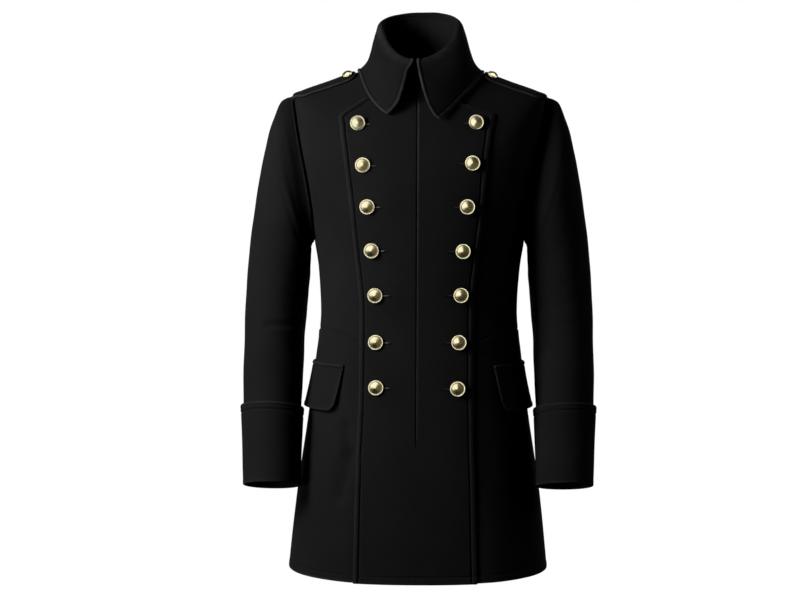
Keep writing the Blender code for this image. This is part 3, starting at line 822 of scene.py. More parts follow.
def shell_faces(rows, columns, closed, keep):
    """Faces of cloth between two grids, with its edges closed. keep says which cells are there."""
    index = np.arange(rows * columns).reshape(rows, columns)
    if closed:
        index = np.concatenate([index, index[:, :1]], 1)
    low, high = index[:-1], index[1:]
    quads = np.stack([low[:, :-1], low[:, 1:], high[:, 1:], high[:, :-1]], -1)
    quads = quads[keep] if keep is not None else quads.reshape(-1, 4)
    half = rows * columns
    starts = quads.reshape(-1)
    ends = np.roll(quads, -1, 1).reshape(-1)
    lone = ~np.isin(ends * half + starts, starts * half + ends)
    sides = np.stack([ends[lone], starts[lone], starts[lone] + half, ends[lone] + half], -1)
    return np.concatenate([quads, quads[:, ::-1] + half, sides])


def turned_out(points, faces):
    """The faces, turned round if they face into the cloth."""
    corners = points[faces]
    first = np.cross(corners[:, 1], corners[:, 2])
    second = np.cross(corners[:, 2], corners[:, 3])
    volume = (corners[:, 0] * (first + second)).sum()
    return faces[:, ::-1] if volume < 0 else faces


def lengths(grid, axis):
    return np.linalg.norm(np.diff(grid, axis=axis), axis=-1).sum(axis)


def cloth_piece(node, outer, inner, wear_and_painted_light=None, closed=False, keep=None):
    """The finished cloth that takes the place of one solid."""
    points = np.concatenate([outer.reshape(-1, 3), inner.reshape(-1, 3)])
    faces = turned_out(points, shell_faces(*outer.shape[:2], closed, keep))
    wear_and_painted_light = np.zeros(outer.shape[:2]) if wear_and_painted_light is None else wear_and_painted_light
    both_faces_wear_and_painted_light = np.concatenate([wear_and_painted_light.reshape(-1), INNER_WEAR_AND_LIGHT * wear_and_painted_light.reshape(-1)])
    piece = new_object(node + "_cloth", points, faces.tolist(), WOOL, both_faces_wear_and_painted_light)
    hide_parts(node)
    middle = (outer + inner) / 2
    if closed:
        middle = np.concatenate([middle, middle[:, :1]], 1)


def line_inside(outer, normal, away, at, limit=None, limit_at=0.0):
    """Points and normals on a piece at a set distance from the edge where its rows start."""
    points = []
    directions = []
    for row in range(len(outer)):
        column = int(np.argmax(away[row] >= at))
        if column == 0:
            continue
        if limit is not None and limit[row, column] < limit_at:
            continue
        low, high = away[row, column - 1], away[row, column]
        share = (at - low) / (high - low)
        points.append(outer[row, column - 1] * (1 - share) + outer[row, column] * share)
        directions.append(normal[row, column])
    return np.array(points), np.array(directions)


def flip(*grids):
    return [grid[:, ::-1] for grid in grids]


def swap(*grids):
    return [grid.swapaxes(0, 1) for grid in grids]


def border_lines(outer, normal, sides, end, side_at, end_at, last=True):
    """Stitch lines down both sides of a piece and along the end between them, its last or first row."""
    ended = swap(outer, normal, end, np.minimum(*sides))
    if last:
        ended = flip(*ended)
    return [
        line_inside(outer, normal, sides[0], side_at, end, end_at),
        line_inside(*flip(outer, normal, sides[1]), side_at, end[:, ::-1], end_at),
        line_inside(*ended[:3], end_at, ended[3], side_at),
    ]


def spokes(side, other, count):
    """Directions all round an axis, from side toward other, which both cross it."""
    turn = (np.arange(count) * math.tau / count)[:, None]
    return np.cos(turn) * side + np.sin(turn) * other


def band(rings):
    """Faces between closed rings, given as rows of point numbers."""
    after = np.roll(rings, -1, 1)
    return np.stack([rings[:-1], after[:-1], after[1:], rings[1:]], -1).reshape(-1, 4)


def stitch_row(points, directions):
    """Points and faces of the stitches along a line on the cloth."""
    step = np.linalg.norm(np.diff(points, axis=0), axis=-1)
    along = np.concatenate([[0.0], np.cumsum(step)])
    count = int(along[-1] / STITCH_PITCH)
    middle = (np.arange(count) + 0.5) * along[-1] / count

    def at(where, values):
        return np.stack([np.interp(where, along, column) for column in values.T], -1)

    near = 0.3 * STITCH_LENGTH
    ahead = unit(at(middle + near, points) - at(middle - near, points))
    across = unit(np.cross(ahead, at(middle, directions)))
    up = np.cross(across, ahead)
    rim = spokes(across[:, None], up[:, None], STITCH_SIDES) * STITCH_RADIUS
    rings = []
    for share, lift, size in zip(*STITCH.values()):
        centre = at(middle, points) + ahead * share * STITCH_LENGTH + up * lift * STITCH_RADIUS
        rings.append(centre[:, None] + rim * size)
    each = len(rings) * STITCH_SIDES
    quads = band(np.arange(each).reshape(-1, STITCH_SIDES))
    faces = (np.arange(count) * each)[:, None, None] + quads
    return np.stack(rings, 1).reshape(-1, 3), faces.reshape(-1, 4)


def join(name, meshes, wear_and_painted_light=None):
    """Thread as one object, from several lots of points and faces."""
    points = []
    faces = []
    count = 0
    for some_points, some_faces in meshes:
        points.append(some_points)
        faces.append(some_faces + count)
        count += len(some_points)
    item = new_object(name, np.concatenate(points), np.concatenate(faces).tolist(), THREAD, wear_and_painted_light)


def sew(name, lines):
    join(name, [stitch_row(*line) for line in lines if len(line[0]) > 2])


def tube(path, up, radius, sides):
    """Closed cord round a loop of points. radius has one value for each point."""
    ahead = unit(np.roll(path, -1, 0) - np.roll(path, 1, 0))
    rim = spokes(np.cross(ahead, up)[:, None], up, sides)
    points = (path[:, None] + rim * radius[:, None, None]).reshape(-1, 3)
    rings = np.arange(len(path) * sides).reshape(-1, sides)
    return points, band(np.concatenate([rings, rings[:1]]))


def feed(tree, socket, value):
    """Link an output to a shader input, or set the input to a plain value."""
    if isinstance(value, bpy.types.NodeSocket):
        tree.links.new(value, socket)
    else:
        socket.default_value = value


def set_node(tree, made, **values):
    """Feed inputs by name, with spaces as underscores. Other names set the node itself."""
    for key, value in values.items():
        socket = made.inputs.get(key.replace("_", " "))
        if socket is None:
            setattr(made, key, value)
        else:
            feed(tree, socket, value)


def add_node(tree, kind, **values):
    made = tree.nodes.new(kind)
    set_node(tree, made, **values)
    return made


def new_material(name):
    """Material with its node tree, its shader and the place on the object that its patterns follow."""
    material = bpy.data.materials.new(name)
    material.use_nodes = True
    tree = material.node_tree
    place_on = add_node(tree, "ShaderNodeTexCoord").outputs["Object"]
    return material, tree, tree.nodes["Principled BSDF"], place_on


def wear_and_painted_light_share(tree):
    """What the points of a mesh carry: wear on the cloth with a painted highlight at the slit, a painted
    highlight on the buttonholes, and grime with painted shade on the buttons.
    """
    return add_node(tree, "ShaderNodeAttribute", attribute_name="wear_and_painted_light").outputs["Fac"]


def noise(tree, place_on, scale, detail, roughness=0.5):
    values = dict(Vector=place_on, Scale=scale, Detail=detail, Roughness=roughness)
    return add_node(tree, "ShaderNodeTexNoise", **values).outputs["Fac"]


def ranged(tree, value, low, high, to_low, to_high):
    values = dict(Value=value, From_Min=low, From_Max=high, To_Min=to_low, To_Max=to_high)
    return add_node(tree, "ShaderNodeMapRange", **values).outputs["Result"]


def math_node(tree, operation, first, second):
    made = add_node(tree, "ShaderNodeMath", operation=operation)
    feed(tree, made.inputs[0], first)
    feed(tree, made.inputs[1], second)
    return made.outputs[0]


def mix_colour(tree, share, first, second):
    """Colour between two. The sockets for colours come after those for numbers and vectors."""
    made = add_node(tree, "ShaderNodeMix", data_type="RGBA")
    tree.links.new(share, made.inputs["Factor"])
    feed(tree, made.inputs[6], first)
    feed(tree, made.inputs[7], second)
    return made.outputs[2]


def bumped(tree, height, strength, distance):
    values = dict(Strength=strength, Distance=distance, Height=height)
    return add_node(tree, "ShaderNodeBump", **values).outputs["Normal"]


def make_wool():
    """Black melton: a felted nap with a little unevenness, rubbed lighter along the edges, and a highlight
    painted along the lapped edge of the slit.
    """
    material, tree, shader, place_on = new_material("black_wool_melton")
    stretch = add_node(tree, "ShaderNodeMapping", Vector=place_on, Scale=(1.0, 1.0, 0.28)).outputs["Vector"]
    cloud = noise(tree, place_on, scale=9.0, detail=3.0)
    patch = noise(tree, place_on, scale=70.0, detail=3.0)
    nap = noise(tree, stretch, scale=900.0, detail=5.0, roughness=0.65)
    fibre = noise(tree, place_on, scale=2600.0, detail=2.0)
    wear_and_highlight = math_node(tree, "MULTIPLY", wear_and_painted_light_share(tree), ranged(tree, patch, 0.3, 0.7, 0.4, 1.0))
    cloudy = ranged(tree, cloud, 0.3, 0.7, 0.0, 0.35)
    tone = math_node(tree, "ADD", cloudy, ranged(tree, nap, 0.25, 0.75, 0.0, 0.65))
    colour = mix_colour(tree, tone, WOOL_DEEP, WOOL_NAP)
    height = math_node(tree, "ADD", nap, math_node(tree, "MULTIPLY", fibre, 0.5))
    set_node(
        tree,
        shader,
        Base_Color=mix_colour(tree, wear_and_highlight, colour, WOOL_WEAR_AND_HIGHLIGHT),
        Roughness=ranged(tree, nap, 0.3, 0.7, 0.80, 0.95),
        Specular_IOR_Level=0.0,
        Sheen_Weight=0.02,
        Sheen_Roughness=0.45,
        Sheen_Tint=WOOL_SHEEN,
        Normal=bumped(tree, height, strength=0.35, distance=0.0004),
    )
    return material


def make_thread():
    """Twisted black thread with a slight shine, paler where a highlight is painted on the buttonholes'
    upper cords.
    """
    material, tree, shader, place_on = new_material("black_thread")
    strand = noise(tree, place_on, scale=2200.0, detail=2.0)
    colour = mix_colour(tree, strand, THREAD_DEEP, THREAD_STRAND)
    set_node(
        tree,
        shader,
        Base_Color=mix_colour(tree, wear_and_painted_light_share(tree), colour, THREAD_HIGHLIGHT),
        Roughness=ranged(tree, strand, 0.3, 0.7, 0.45, 0.65),
        Specular_IOR_Level=0.03,
        Normal=bumped(tree, strand, strength=0.3, distance=0.0002),
    )
    return material


def make_brass():
    """Pale gold brass, with fine handling marks, dark grime in the groove of the rim and painted shade on
    its outer edge and underside.
    """
    material, tree, shader, place_on = new_material("pale_gold_brass")
    cloud = noise(tree, place_on, scale=160.0, detail=3.0)
    marks = noise(tree, place_on, scale=1400.0, detail=4.0, roughness=0.6)
    grime_and_shade = wear_and_painted_light_share(tree)
    colour = mix_colour(tree, ranged(tree, cloud, 0.3, 0.7, 0.0, 1.0), BRASS_DEEP, BRASS_PALE)
    dirty_and_shaded = math_node(tree, "MULTIPLY", grime_and_shade, ranged(tree, marks, 0.3, 0.7, 0.55, 0.95))
    rough = ranged(tree, marks, 0.3, 0.7, 0.20, 0.30)
    set_node(
        tree,
        shader,
        Base_Color=mix_colour(tree, dirty_and_shaded, colour, BRASS_GRIME_AND_SHADE),
        Metallic=1.0,
        Roughness=math_node(tree, "ADD", rough, math_node(tree, "MULTIPLY", grime_and_shade, 0.25)),
        Normal=bumped(tree, marks, strength=0.15, distance=0.0002),
    )
    return material


def make_floor_paper():
    """Plain pale studio paper."""
    material, tree, shader, place_on = new_material("pale_floor")
    grain = noise(tree, place_on, scale=30.0, detail=4.0)
    set_node(
        tree,
        shader,
        Base_Color=mix_colour(tree, grain, FLOOR_DEEP, FLOOR_PALE),
        Roughness=0.9,
        Emission_Color=FLOOR_PALE,
        Emission_Strength=0.4,
    )
    return material


def body_piece(node, level, angle, seams, drawn=0.0):
    """Back or side front, sewn at its seam columns and the neck. Gives the stitch line of its hem."""
    base, normal = cloth_normal(level[:, None], angle)
    seam = np.min([away_from_column(base, column) for column in seams], axis=0)
    hem = away_from_row(base, 0)
    relief = bell(seam, *SEAM_GROOVE) + bell(away_from_row(base, -1), *SEAM_GROOVE) + turned(hem, *HEM_EDGE)
    outer, inner = two_faces(base, normal, relief + drawn, rounding(hem))
    cloth_piece(node, outer, inner, bell(hem, *HEM_WEAR))
    return line_inside(*swap(outer, normal, hem), HEM_STITCH)


def make_back():
    level = body_levels()
    edge = side_edge(level, -1)
    angle = row_angles(level, edge, math.tau - edge, middle=62)
    return [body_piece("back", level, angle, seams=(0, -1))]


def make_fronts():
    """Side fronts, each from its hidden edge under the panel to the side."""
    lines = []
    level = body_levels()
    for side, way in SIDES.items():
        edge = panel_edge(level, side)
        hidden = np.maximum(edge - UNDERLAP, UNDERLAP_CLEAR)
        share = np.linspace(0, 1, LAP_COLUMNS)[:-1]
        x = hidden[:, None] + (edge - hidden)[:, None] * share
        lap = angle_at(level[:, None], way * x - PANEL_SHIFT)
        start = angle_at(level, way * edge - PANEL_SHIFT)
        rest = row_angles(level, start, way * side_edge(level, 1), middle=40, fine_low=False)
        angle = np.concatenate([lap, rest], 1)
        above = level[:, None] - smooth(np.abs(np.degrees(angle)), *WAIST_SEAM.values())
        drawn = bell(above, *WAIST_GROOVE) + bell(above, *WAIST_STEP) * (above < 0)
        drawn = drawn * WAIST_SHOWN[side]
        lines.append(body_piece(f"front_{side}", level, angle, seams=(-1,), drawn=drawn))
    return lines


def panel_angles(level):
    """Angles of the front panel's right half, of this half's lap under the slit, and of its left half."""
    half = {}
    for side, way in SIDES.items():
        slit = angle_at(level, way * SLIT / 2 - PANEL_SHIFT)
        edge = angle_at(level, way * panel_edge(level, side) - PANEL_SHIFT)
        half[side] = row_angles(level, slit, edge, middle=26)
    wide = np.clip((level - SLIT_END - SLIT_EASE) / SLIT_LAP_EASE, 0, 1)
    wide = wide * np.clip((SLIT_LAP_TOP - level) / SLIT_LAP_EASE, 0, 1)
    lap = (SLIT_LAP_LEAST + (SLIT_LAP - SLIT) * wide)[:, None]
    under = angle_at(level[:, None], lap * SLIT_LAP_COLUMNS - SLIT / 2 - PANEL_SHIFT)
    return half["right"][:, ::-1], under, half["left"]


def make_panel():
    """Front panel in one piece up to the foot of its slit, and open above it."""
    level = body_levels()
    right, under, left = panel_angles(level)
    angle = np.concatenate([right, under, left], 1)
    last = right.shape[1] - 1
    first = last + 1 + under.shape[1]
    is_open = np.clip((level - SLIT_END) / SLIT_EASE, 0, 1)[:, None]
    sunk = np.zeros(angle.shape)
    sunk[:, last + 1 : first] = (WALL + SLIT_LAP_CLEAR) * is_open
    level[0] -= PANEL_DROP
    level[-1] -= SEAM
    base, normal = cloth_normal(level[:, None], angle)
    base = base + normal * (LAP + WALL - sunk)[..., None]
    sides = away_from_sides(base)
    edge = np.minimum(*sides)
    hem = away_from_row(base, 0)
    slit = np.minimum(away_from_column(base, last), away_from_column(base, first))
    over = np.arange(angle.shape[1]) >= first
    beside = bell(slit, *SLIT_SWELL) * over + bell(slit, *SLIT_GROOVE)
    relief = turned(edge, *PANEL_EDGE) + turned(hem, *PANEL_HEM) + is_open * beside
    draw = np.maximum(rounding(np.minimum(edge, hem)), rounding(slit) * is_open)
    outer, inner = two_faces(base, normal, relief, draw)
    keep = np.ones((len(level) - 1, angle.shape[1] - 1), bool)
    keep[level[:-1] > SLIT_END - 1e-6, first - 1] = False
    wear_and_painted_light = bell(edge, *PANEL_WEAR) + bell(hem, *PANEL_HEM_WEAR)
    # Along the slit's lapped edge: rubbing and a painted highlight that grows toward the neck
    wear_and_painted_light = wear_and_painted_light + bell(slit, *SLIT_WEAR_AND_HIGHLIGHT) * is_open * over * level[:, None]
    cloth_piece("front_panel", outer, inner, np.clip(wear_and_painted_light, 0, 1), keep=keep)
    return border_lines(outer, normal, sides, hem, PANEL_STITCH, HEM_STITCH, last=False)


def at_front(angle):
    """1 at the middle of the front, and 0 from the sides back."""
    return np.maximum(np.cos(angle), 0) ** FRONT_FADE


def stand_top(angle):
    """Top edge of the collar stand, on its inner face."""
    point = ring(STAND_TOP, angle, STAND_LEAN)
    point[..., 0] -= COLLAR_TWIST * at_front(angle)
    point[..., 2] += section(RIM, np.degrees(angle))["lift"]
    return point + prow(angle)


def prow(angle):
    """How the collar is drawn forward and down to a ridge at its closing."""
    near = np.clip(1 - np.arccos(np.cos(angle)) / math.radians(PROW_SPREAD), 0, 1) ** 2
    return near[..., None] * np.array([0.0, -PROW, -PROW_DIP])


def collar_shares():
    return spaced(COLLAR_LENGTH, middle=130) / COLLAR_LENGTH


def collar_angles(end):
    """Angles of the collar's columns, from the left end round the back to the right end."""
    return end + (math.tau - 2 * end) * collar_shares()


def stand_grids():
    """Outer and inner points of the collar stand, from the neck seam up."""
    top = stand_top(collar_angles(math.radians(LEAF_CORNER)))
    neck_depth = BODY["front_depth"][-1]
    base_angle = collar_angles(SLIT / 2 / neck_depth)
    base_angle = base_angle - PANEL_SHIFT / neck_depth * at_front(base_angle)
    base, base_normal = cloth_normal(NECK + NECK_SEAM, base_angle)
    base_inner = base - base_normal * WALL
    rise = np.linspace(0, 1, STAND_ROWS)[:, None, None]
    inner = base_inner + (top - base_inner) * rise
    outer = inner + normals(inner) * WALL
    outer[0] = base
    return outer, inner


def make_stand():
    """Collar stand, marked on its inside."""
    outer, inner = stand_grids()
    rise = np.linspace(0, 1, len(inner))[:, None]
    sunk = 0.0
    for depth, middle, half_width, drift in zip(*STAND_MARKS.values()):
        sunk = sunk + bell(collar_shares() - drift * rise, depth, middle, half_width / STAND_LENGTH)
    sunk = np.minimum(sunk * np.sin(math.pi * rise) ** 0.5, STAND_SUNK_MOST)
    inner[1:-1] += (normals(inner) * sunk[..., None])[1:-1]
    cloth_piece("collar_stand", outer, inner)


def eased(rows, at):
    """Smooth curve through rows of points, at distances along it."""
    step = np.linalg.norm(np.diff(rows, axis=0), axis=-1).mean(1)
    along = np.concatenate([[0.0], np.cumsum(step)])
    slope = np.gradient(rows, along, axis=0)
    k = np.clip(np.searchsorted(along, at) - 1, 0, len(rows) - 2)
    share = (at - along[k]) / step[k]
    return bent(share[:, None, None], step[k][:, None, None], k, rows, slope)


def fall_rows(share):
    """Rows of the turned-down collar, from the stand's top over the roll and down to the leaves' edge."""
    top_angle = collar_angles(math.radians(LEAF_CORNER))
    leaf = {name: np.interp(share, LEAVES["share"], column) for name, column in LEAVES.items()}
    edge_angle = np.radians(leaf["point"])
    top = stand_top(top_angle)
    level = leaf["level"] - leaf["dip"] * np.maximum(np.cos(edge_angle), 0) ** leaf["power"]
    beside = np.clip((LEAF_REST_START - np.cos(edge_angle)) / LEAF_REST_SPAN, 0, 1)
    lift = LEAF_LIFT - LEAF_REST * beside * beside * (3 - 2 * beside)
    edge, edge_normal = cloth_normal(level, edge_angle)
    edge = edge + edge_normal * lift[:, None] + PROW_AT_EDGE * prow(top_angle)
    away = np.stack([np.sin(top_angle), -np.cos(top_angle), 0 * share], -1)
    up = np.array([0.0, 0.0, ROLL_UP])
    rows = [top + STAND_GAP]
    for out, rise in zip(*ROLL.values()):
        rows.append(top + away * out * ROLL_OUT + up * rise)
    roll = rows[-1]
    near = np.hypot(roll[:, 0], roll[:, 1])
    far = np.hypot(edge[:, 0], edge[:, 1])
    front = np.maximum(np.cos(edge_angle), 0)
    for drop, side_out, front_out, left_sweep, right_sweep in zip(*FALL.values()):
        out = side_out + (front_out - side_out) * front
        sweep = left_sweep + (right_sweep - left_sweep) * share
        angle = top_angle + (edge_angle - top_angle) * sweep
        reach = near + (far - near) * out
        z = roll[:, 2] + (edge[:, 2] - roll[:, 2]) * drop
        twist = COLLAR_TWIST * at_front(top_angle) * (1 - drop)
        rows.append(np.stack([reach * np.sin(angle) - twist, -reach * np.cos(angle), z], -1))
    return np.array(rows)


def make_fall():
    """Turned-down collar, sewn along the stand's top edge."""
    share = collar_shares()
    rows = fall_rows(share)
    length = lengths(rows, 0).mean()
    base = eased(rows, spaced(length, middle=34, low=False))
    normal = -normals(base)
    sides = away_from_sides(base)
    bottom = away_from_row(base, -1)
    finished = np.minimum(np.minimum(*sides), bottom)
    wave = waves(COLLAR_WAVES, share, 0.0) * np.linspace(0, 1, len(base))[:, None]
    waved = base + normal * wave[..., None]
    outer, inner = two_faces(waved, normal, turned(finished, *COLLAR_EDGE), rounding(finished))
    inner[0] = stand_grids()[0][-1] + STAND_GAP
    down = (np.arange(len(base)) / len(base))[:, None]
    wear_and_painted_light = bell(finished, *COLLAR_WEAR) + bell(down, *ROLL_WEAR)
    cloth_piece("collar_fall", outer, inner, np.clip(wear_and_painted_light, 0, 1))
    return border_lines(outer, normal, sides, bottom, COLLAR_STITCH, COLLAR_STITCH)


def sleeve_sections(turn, reach):
    """Rings of the left sleeve, where turn runs from its outer line over its front."""
    row = section(SLEEVE, reach)
    outer = np.stack([row["outer_x"], row["middle_y"], row["outer_z"]], -1)
    inner = np.stack([row["inner_x"], row["middle_y"], row["inner_z"]], -1)
    pitch = np.radians(row["pitch"])
    forward = np.stack([0 * pitch, -np.cos(pitch), np.sin(pitch)], -1) * row["half_depth"][:, None]
    middle = (outer + inner) / 2
    side = (outer - inner) / 2
    around = np.cos(turn)[None, :, None] * side[:, None] + np.sin(turn)[None, :, None] * forward[:, None]
    return middle[:, None] + around


def seam_trimmed(grid):
    """The strip of cloth with both long edges drawn back for the seam."""
    grid = grid.copy()
    for edge, beside in ((0, 1), (-1, -2)):
        along = grid[:, beside] - grid[:, edge]
        grid[:, edge] += unit(along) * SEAM_TRIM
    return grid


def sleeve_form(side, way, turn, reach):
    """Points and normals of a sleeve, drawn as the left one, and the inner edge of its armhole seam."""
    base = sleeve_sections(turn, reach)
    seam_level, seam_angle = armhole(turn, SEAM)
    seam_outer, seam_normal = cloth_normal(seam_level, way * seam_angle)
    off = mirrored(seam_outer, way) - base[0]
    base = base + (np.clip(1 - reach / SLEEVE_BLEND, 0, 1) ** 2)[:, None, None] * off
    down = reach[:, None]
    ends = crease_ends(SLEEVE_CREASES[side], SLEEVE_RADIUS, SLEEVE_LENGTH)
    swell = waves(SLEEVE_WAVES, turn, down) - hollow(turn * SLEEVE_RADIUS, down * SLEEVE_LENGTH, ends)
    swell = swell * np.clip(down / SLEEVE_SMOOTH, 0, 1)
    base = base + normals(base, closed=True) * swell[..., None]
    return base, normals(base, closed=True), mirrored(seam_outer - seam_normal * WALL, way)


def make_cuff(side, way, base, normal, reach):
    """Turned-back cuff round the end of a sleeve. Gives the stitch line under its top edge."""
    lift = LAP + CUFF_LIFT_TOP * ((1 - reach) / (1 - CUFF_TOP)) ** 2
    strip = base + normal * (lift + WALL)[:, None, None]
    top = away_from_row(strip, 0)
    bottom = away_from_row(strip, -1)
    finished = np.minimum(top, bottom)
    relief = turned(top, *CUFF_EDGE) + bell(top, *CUFF_GROOVE) + turned(bottom, *CUFF_FOOT)
    faces = two_faces(strip, normal, relief, rounding(finished))
    outer, inner = [mirrored(face, way) for face in faces]
    cloth_piece(f"cuff_{side}", outer, inner, bell(finished, *CUFF_WEAR), closed=True)
    return line_inside(*swap(outer, mirrored(normal, way), top), CUFF_STITCH)


def make_sleeves():
    """Top and under sleeves with their cuffs, all drawn as left ones and mirrored."""
    lines = []
    top_girth = (FRONT_SEAM - BACK_SEAM) * SLEEVE_RADIUS
    under_girth = (math.tau + BACK_SEAM - FRONT_SEAM) * SLEEVE_RADIUS
    top_turn = BACK_SEAM + spaced(top_girth, middle=56) / SLEEVE_RADIUS
    under_turn = FRONT_SEAM + spaced(under_girth, middle=14) / SLEEVE_RADIUS
    turn = np.concatenate([top_turn[:-1], under_turn[:-1]])
    head = np.linspace(0, SLEEVE_HEAD, HEAD_ROWS)[:-1]
    arm = np.linspace(SLEEVE_HEAD, CUFF_TOP, ARM_ROWS)[:-1]
    cuff_length = SLEEVE_LENGTH * (1 - CUFF_TOP) * CUFF_SLANT
    cuff = CUFF_TOP + spaced(cuff_length, middle=26) / cuff_length * (1 - CUFF_TOP)
    reach = np.concatenate([head, arm, cuff])
    wrist = len(head) + len(arm)
    strips = dict(
        top_sleeve=np.arange(len(top_turn)),
        under_sleeve=np.arange(len(top_turn) - 1, len(turn) + 1) % len(turn),
    )
    for side, way in SIDES.items():
        base, normal, seam_inner = sleeve_form(side, way, turn, reach)
        from_seam = away_from_row(base, 0)
        head_relief = bell(from_seam, *HEAD_ROLL) * np.maximum(np.cos(turn), 0)
        head_relief = head_relief + bell(from_seam, *HEAD_RIDGE) + bell(from_seam, *SEAM_GROOVE)
        for name, columns in strips.items():
            strip = base[:, columns]
            out = normal[:, columns]
            relief = bell(np.minimum(*away_from_sides(strip)), *SEAM_GROOVE) + head_relief[:, columns]
            outer = seam_trimmed(strip + out * relief[..., None])
            inner = strip - out * WALL
            inner[0] = seam_inner[columns]
            cloth_piece(f"{name}_{side}", mirrored(outer, way), mirrored(seam_trimmed(inner), way))
        lines.append(make_cuff(side, way, base[wrist:], normal[wrist:], reach[wrist:]))
    return lines


def make_straps():
    """Shoulder straps from the sleeve seam toward the collar, with a rounded end."""
    lines = []
    across = spaced(2 * STRAP_HALF_WIDTH, middle=6) / STRAP_HALF_WIDTH - 1
    along = (spaced(STRAP_LENGTH, middle=26, low=False) / STRAP_LENGTH)[:, None]
    seam_turn = np.radians(np.interp(across, (-1, 1), STRAP_SEAM))
    seam_level, seam_angle = armhole(seam_turn, -STRAP_INSET)
    round_end = np.clip((along - STRAP_ROUND) / (1 - STRAP_ROUND), 0, 1)
    width = STRAP_HALF_WIDTH * np.sqrt(1 - STRAP_NARROWING * round_end**2)
    level = seam_level + (STRAP_LEVEL - seam_level) * along
    end_angle = angle_beside(level, -STRAP_FORWARD - width * across)
    angle = seam_angle + (end_angle - seam_angle) * np.minimum(along / STRAP_SEWN, 1)
    for side, way in SIDES.items():
        base, normal = cloth_normal(level, way * angle)
        base = base + normal * (STRAP_LAP + WALL)
        sides = away_from_sides(base)
        end = away_from_row(base, -1)
        finished = np.minimum(np.minimum(*sides), end)
        relief = turned(finished, *STRAP_EDGE) + bell(away_from_row(base, 0), *SEAM_GROOVE)
        outer, inner = two_faces(base, normal, relief, rounding(finished))
        cloth_piece(f"epaulette_{side}", outer, inner, bell(finished, *STRAP_WEAR))
        lines += border_lines(outer, normal, sides, end, STRAP_STITCH, STRAP_STITCH)
    return lines


def make_flaps():
    """Pocket flaps with round lower corners, standing off the cloth toward the bottom."""
    lines = []
    down = (spaced(FLAP_DEPTH, middle=14) / FLAP_DEPTH)[:, None]
    share = spaced(FLAP_LENGTH, middle=30) / FLAP_LENGTH
    top_level = place(FLAP_FRONT_TOP, FLAP_TOP)[0] + FLAP_RISE * share
    from_end = np.minimum(share, 1 - share) * FLAP_LENGTH
    inset = np.clip(FLAP_CORNER - from_end, 0, None)
    depth = FLAP_DEPTH - FLAP_CORNER + np.sqrt(FLAP_CORNER**2 - inset**2)
    level = top_level - depth * down
    edge_x = FLAP_FRONT_TOP + (FLAP_FRONT_BOTTOM - FLAP_FRONT_TOP) * down
    front = angle_at(level[:, :1], edge_x)
    angle = front + (math.radians(FLAP_BACK) - front) * share
    out = FLAP_LAP + FLAP_LIFT * down**FLAP_CURVE + WALL
    for side, way in SIDES.items():
        base, normal = cloth_normal(level, way * angle)
        base = base + normal * out[..., None]
        top = away_from_row(base, 0)
        ends = np.minimum(*away_from_sides(base))
        bottom = np.minimum(ends, away_from_row(base, -1))
        finished = np.minimum(top, bottom)
        relief = turned(top, *FLAP_TOP_EDGE) + turned(bottom, *FLAP_EDGE)
        outer, inner = two_faces(base, normal, relief, rounding(finished))
        cloth_piece(f"pocket_flap_{side}", outer, inner, bell(finished, *FLAP_WEAR))
        lines.append(line_inside(*swap(outer, normal, top), FLAP_STITCH, ends.T, FLAP_STITCH_INSET))
    return lines


def make_button(name, level, angle, out, facing, scale=1.0):
    """Turned button whose shank stands on the cloth at out from the form."""
    point, normal = cloth_normal(level, angle)
    axis = unit(normal + facing * (np.array([0.0, -1.0, 0.0]) - normal))
    lean = np.linalg.norm(np.cross(normal, axis))
    seat = point + normal * (out + BUTTON_SEAT + lean * scale * BUTTON["radius"][0])
    side = unit(np.cross(axis, (0.0, 0.0, 1.0)))
    rim = spokes(side, np.cross(axis, side), BUTTON_SIDES)
    points = [seat]
    grime_and_shade = [1.0]
    # The last column darkens the groove with grime, and the outer edge and underside with painted shade
    for radius, height, dirt_and_shade in zip(*BUTTON.values()):
        points.extend(seat + scale * (rim * radius + axis * height))
        grime_and_shade.extend([dirt_and_shade] * BUTTON_SIDES)
    points.append(seat + axis * BUTTON_CROWN * scale)
    grime_and_shade.append(0.0)
    rings = 1 + np.arange(len(points) - 2).reshape(-1, BUTTON_SIDES)
    after = np.roll(rings, -1, 1)
    foot = [[0, a, b] for a, b in zip(rings[0], after[0])]
    crown = [[len(points) - 1, b, a] for a, b in zip(rings[-1], after[-1])]
    faces = band(rings)[:, ::-1].tolist() + foot + crown
    item = new_object(name + "_turned", np.array(points), faces, BRASS, np.array(grime_and_shade))
    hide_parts(name)


def make_buttons():
    for side, way in SIDES.items():
        for i, (x, z) in enumerate(zip(BUTTONS[side + "_x"], BUTTONS[side + "_z"])):
            level, angle = place(x, z)
            make_button(f"button_{side}_{i + 1}", level, way * angle, LAP + WALL, BUTTON_FACING)
        make_button(
            f"button_epaulette_{side}",
            STRAP_BUTTON_LEVEL,
            way * float(angle_beside(STRAP_BUTTON_LEVEL, -STRAP_BUTTON_FORWARD)),
            STRAP_LAP + WALL + STRAP_BUTTON_SEAT,
            STRAP_BUTTON_FACING,
            STRAP_BUTTON_SCALE,
        )


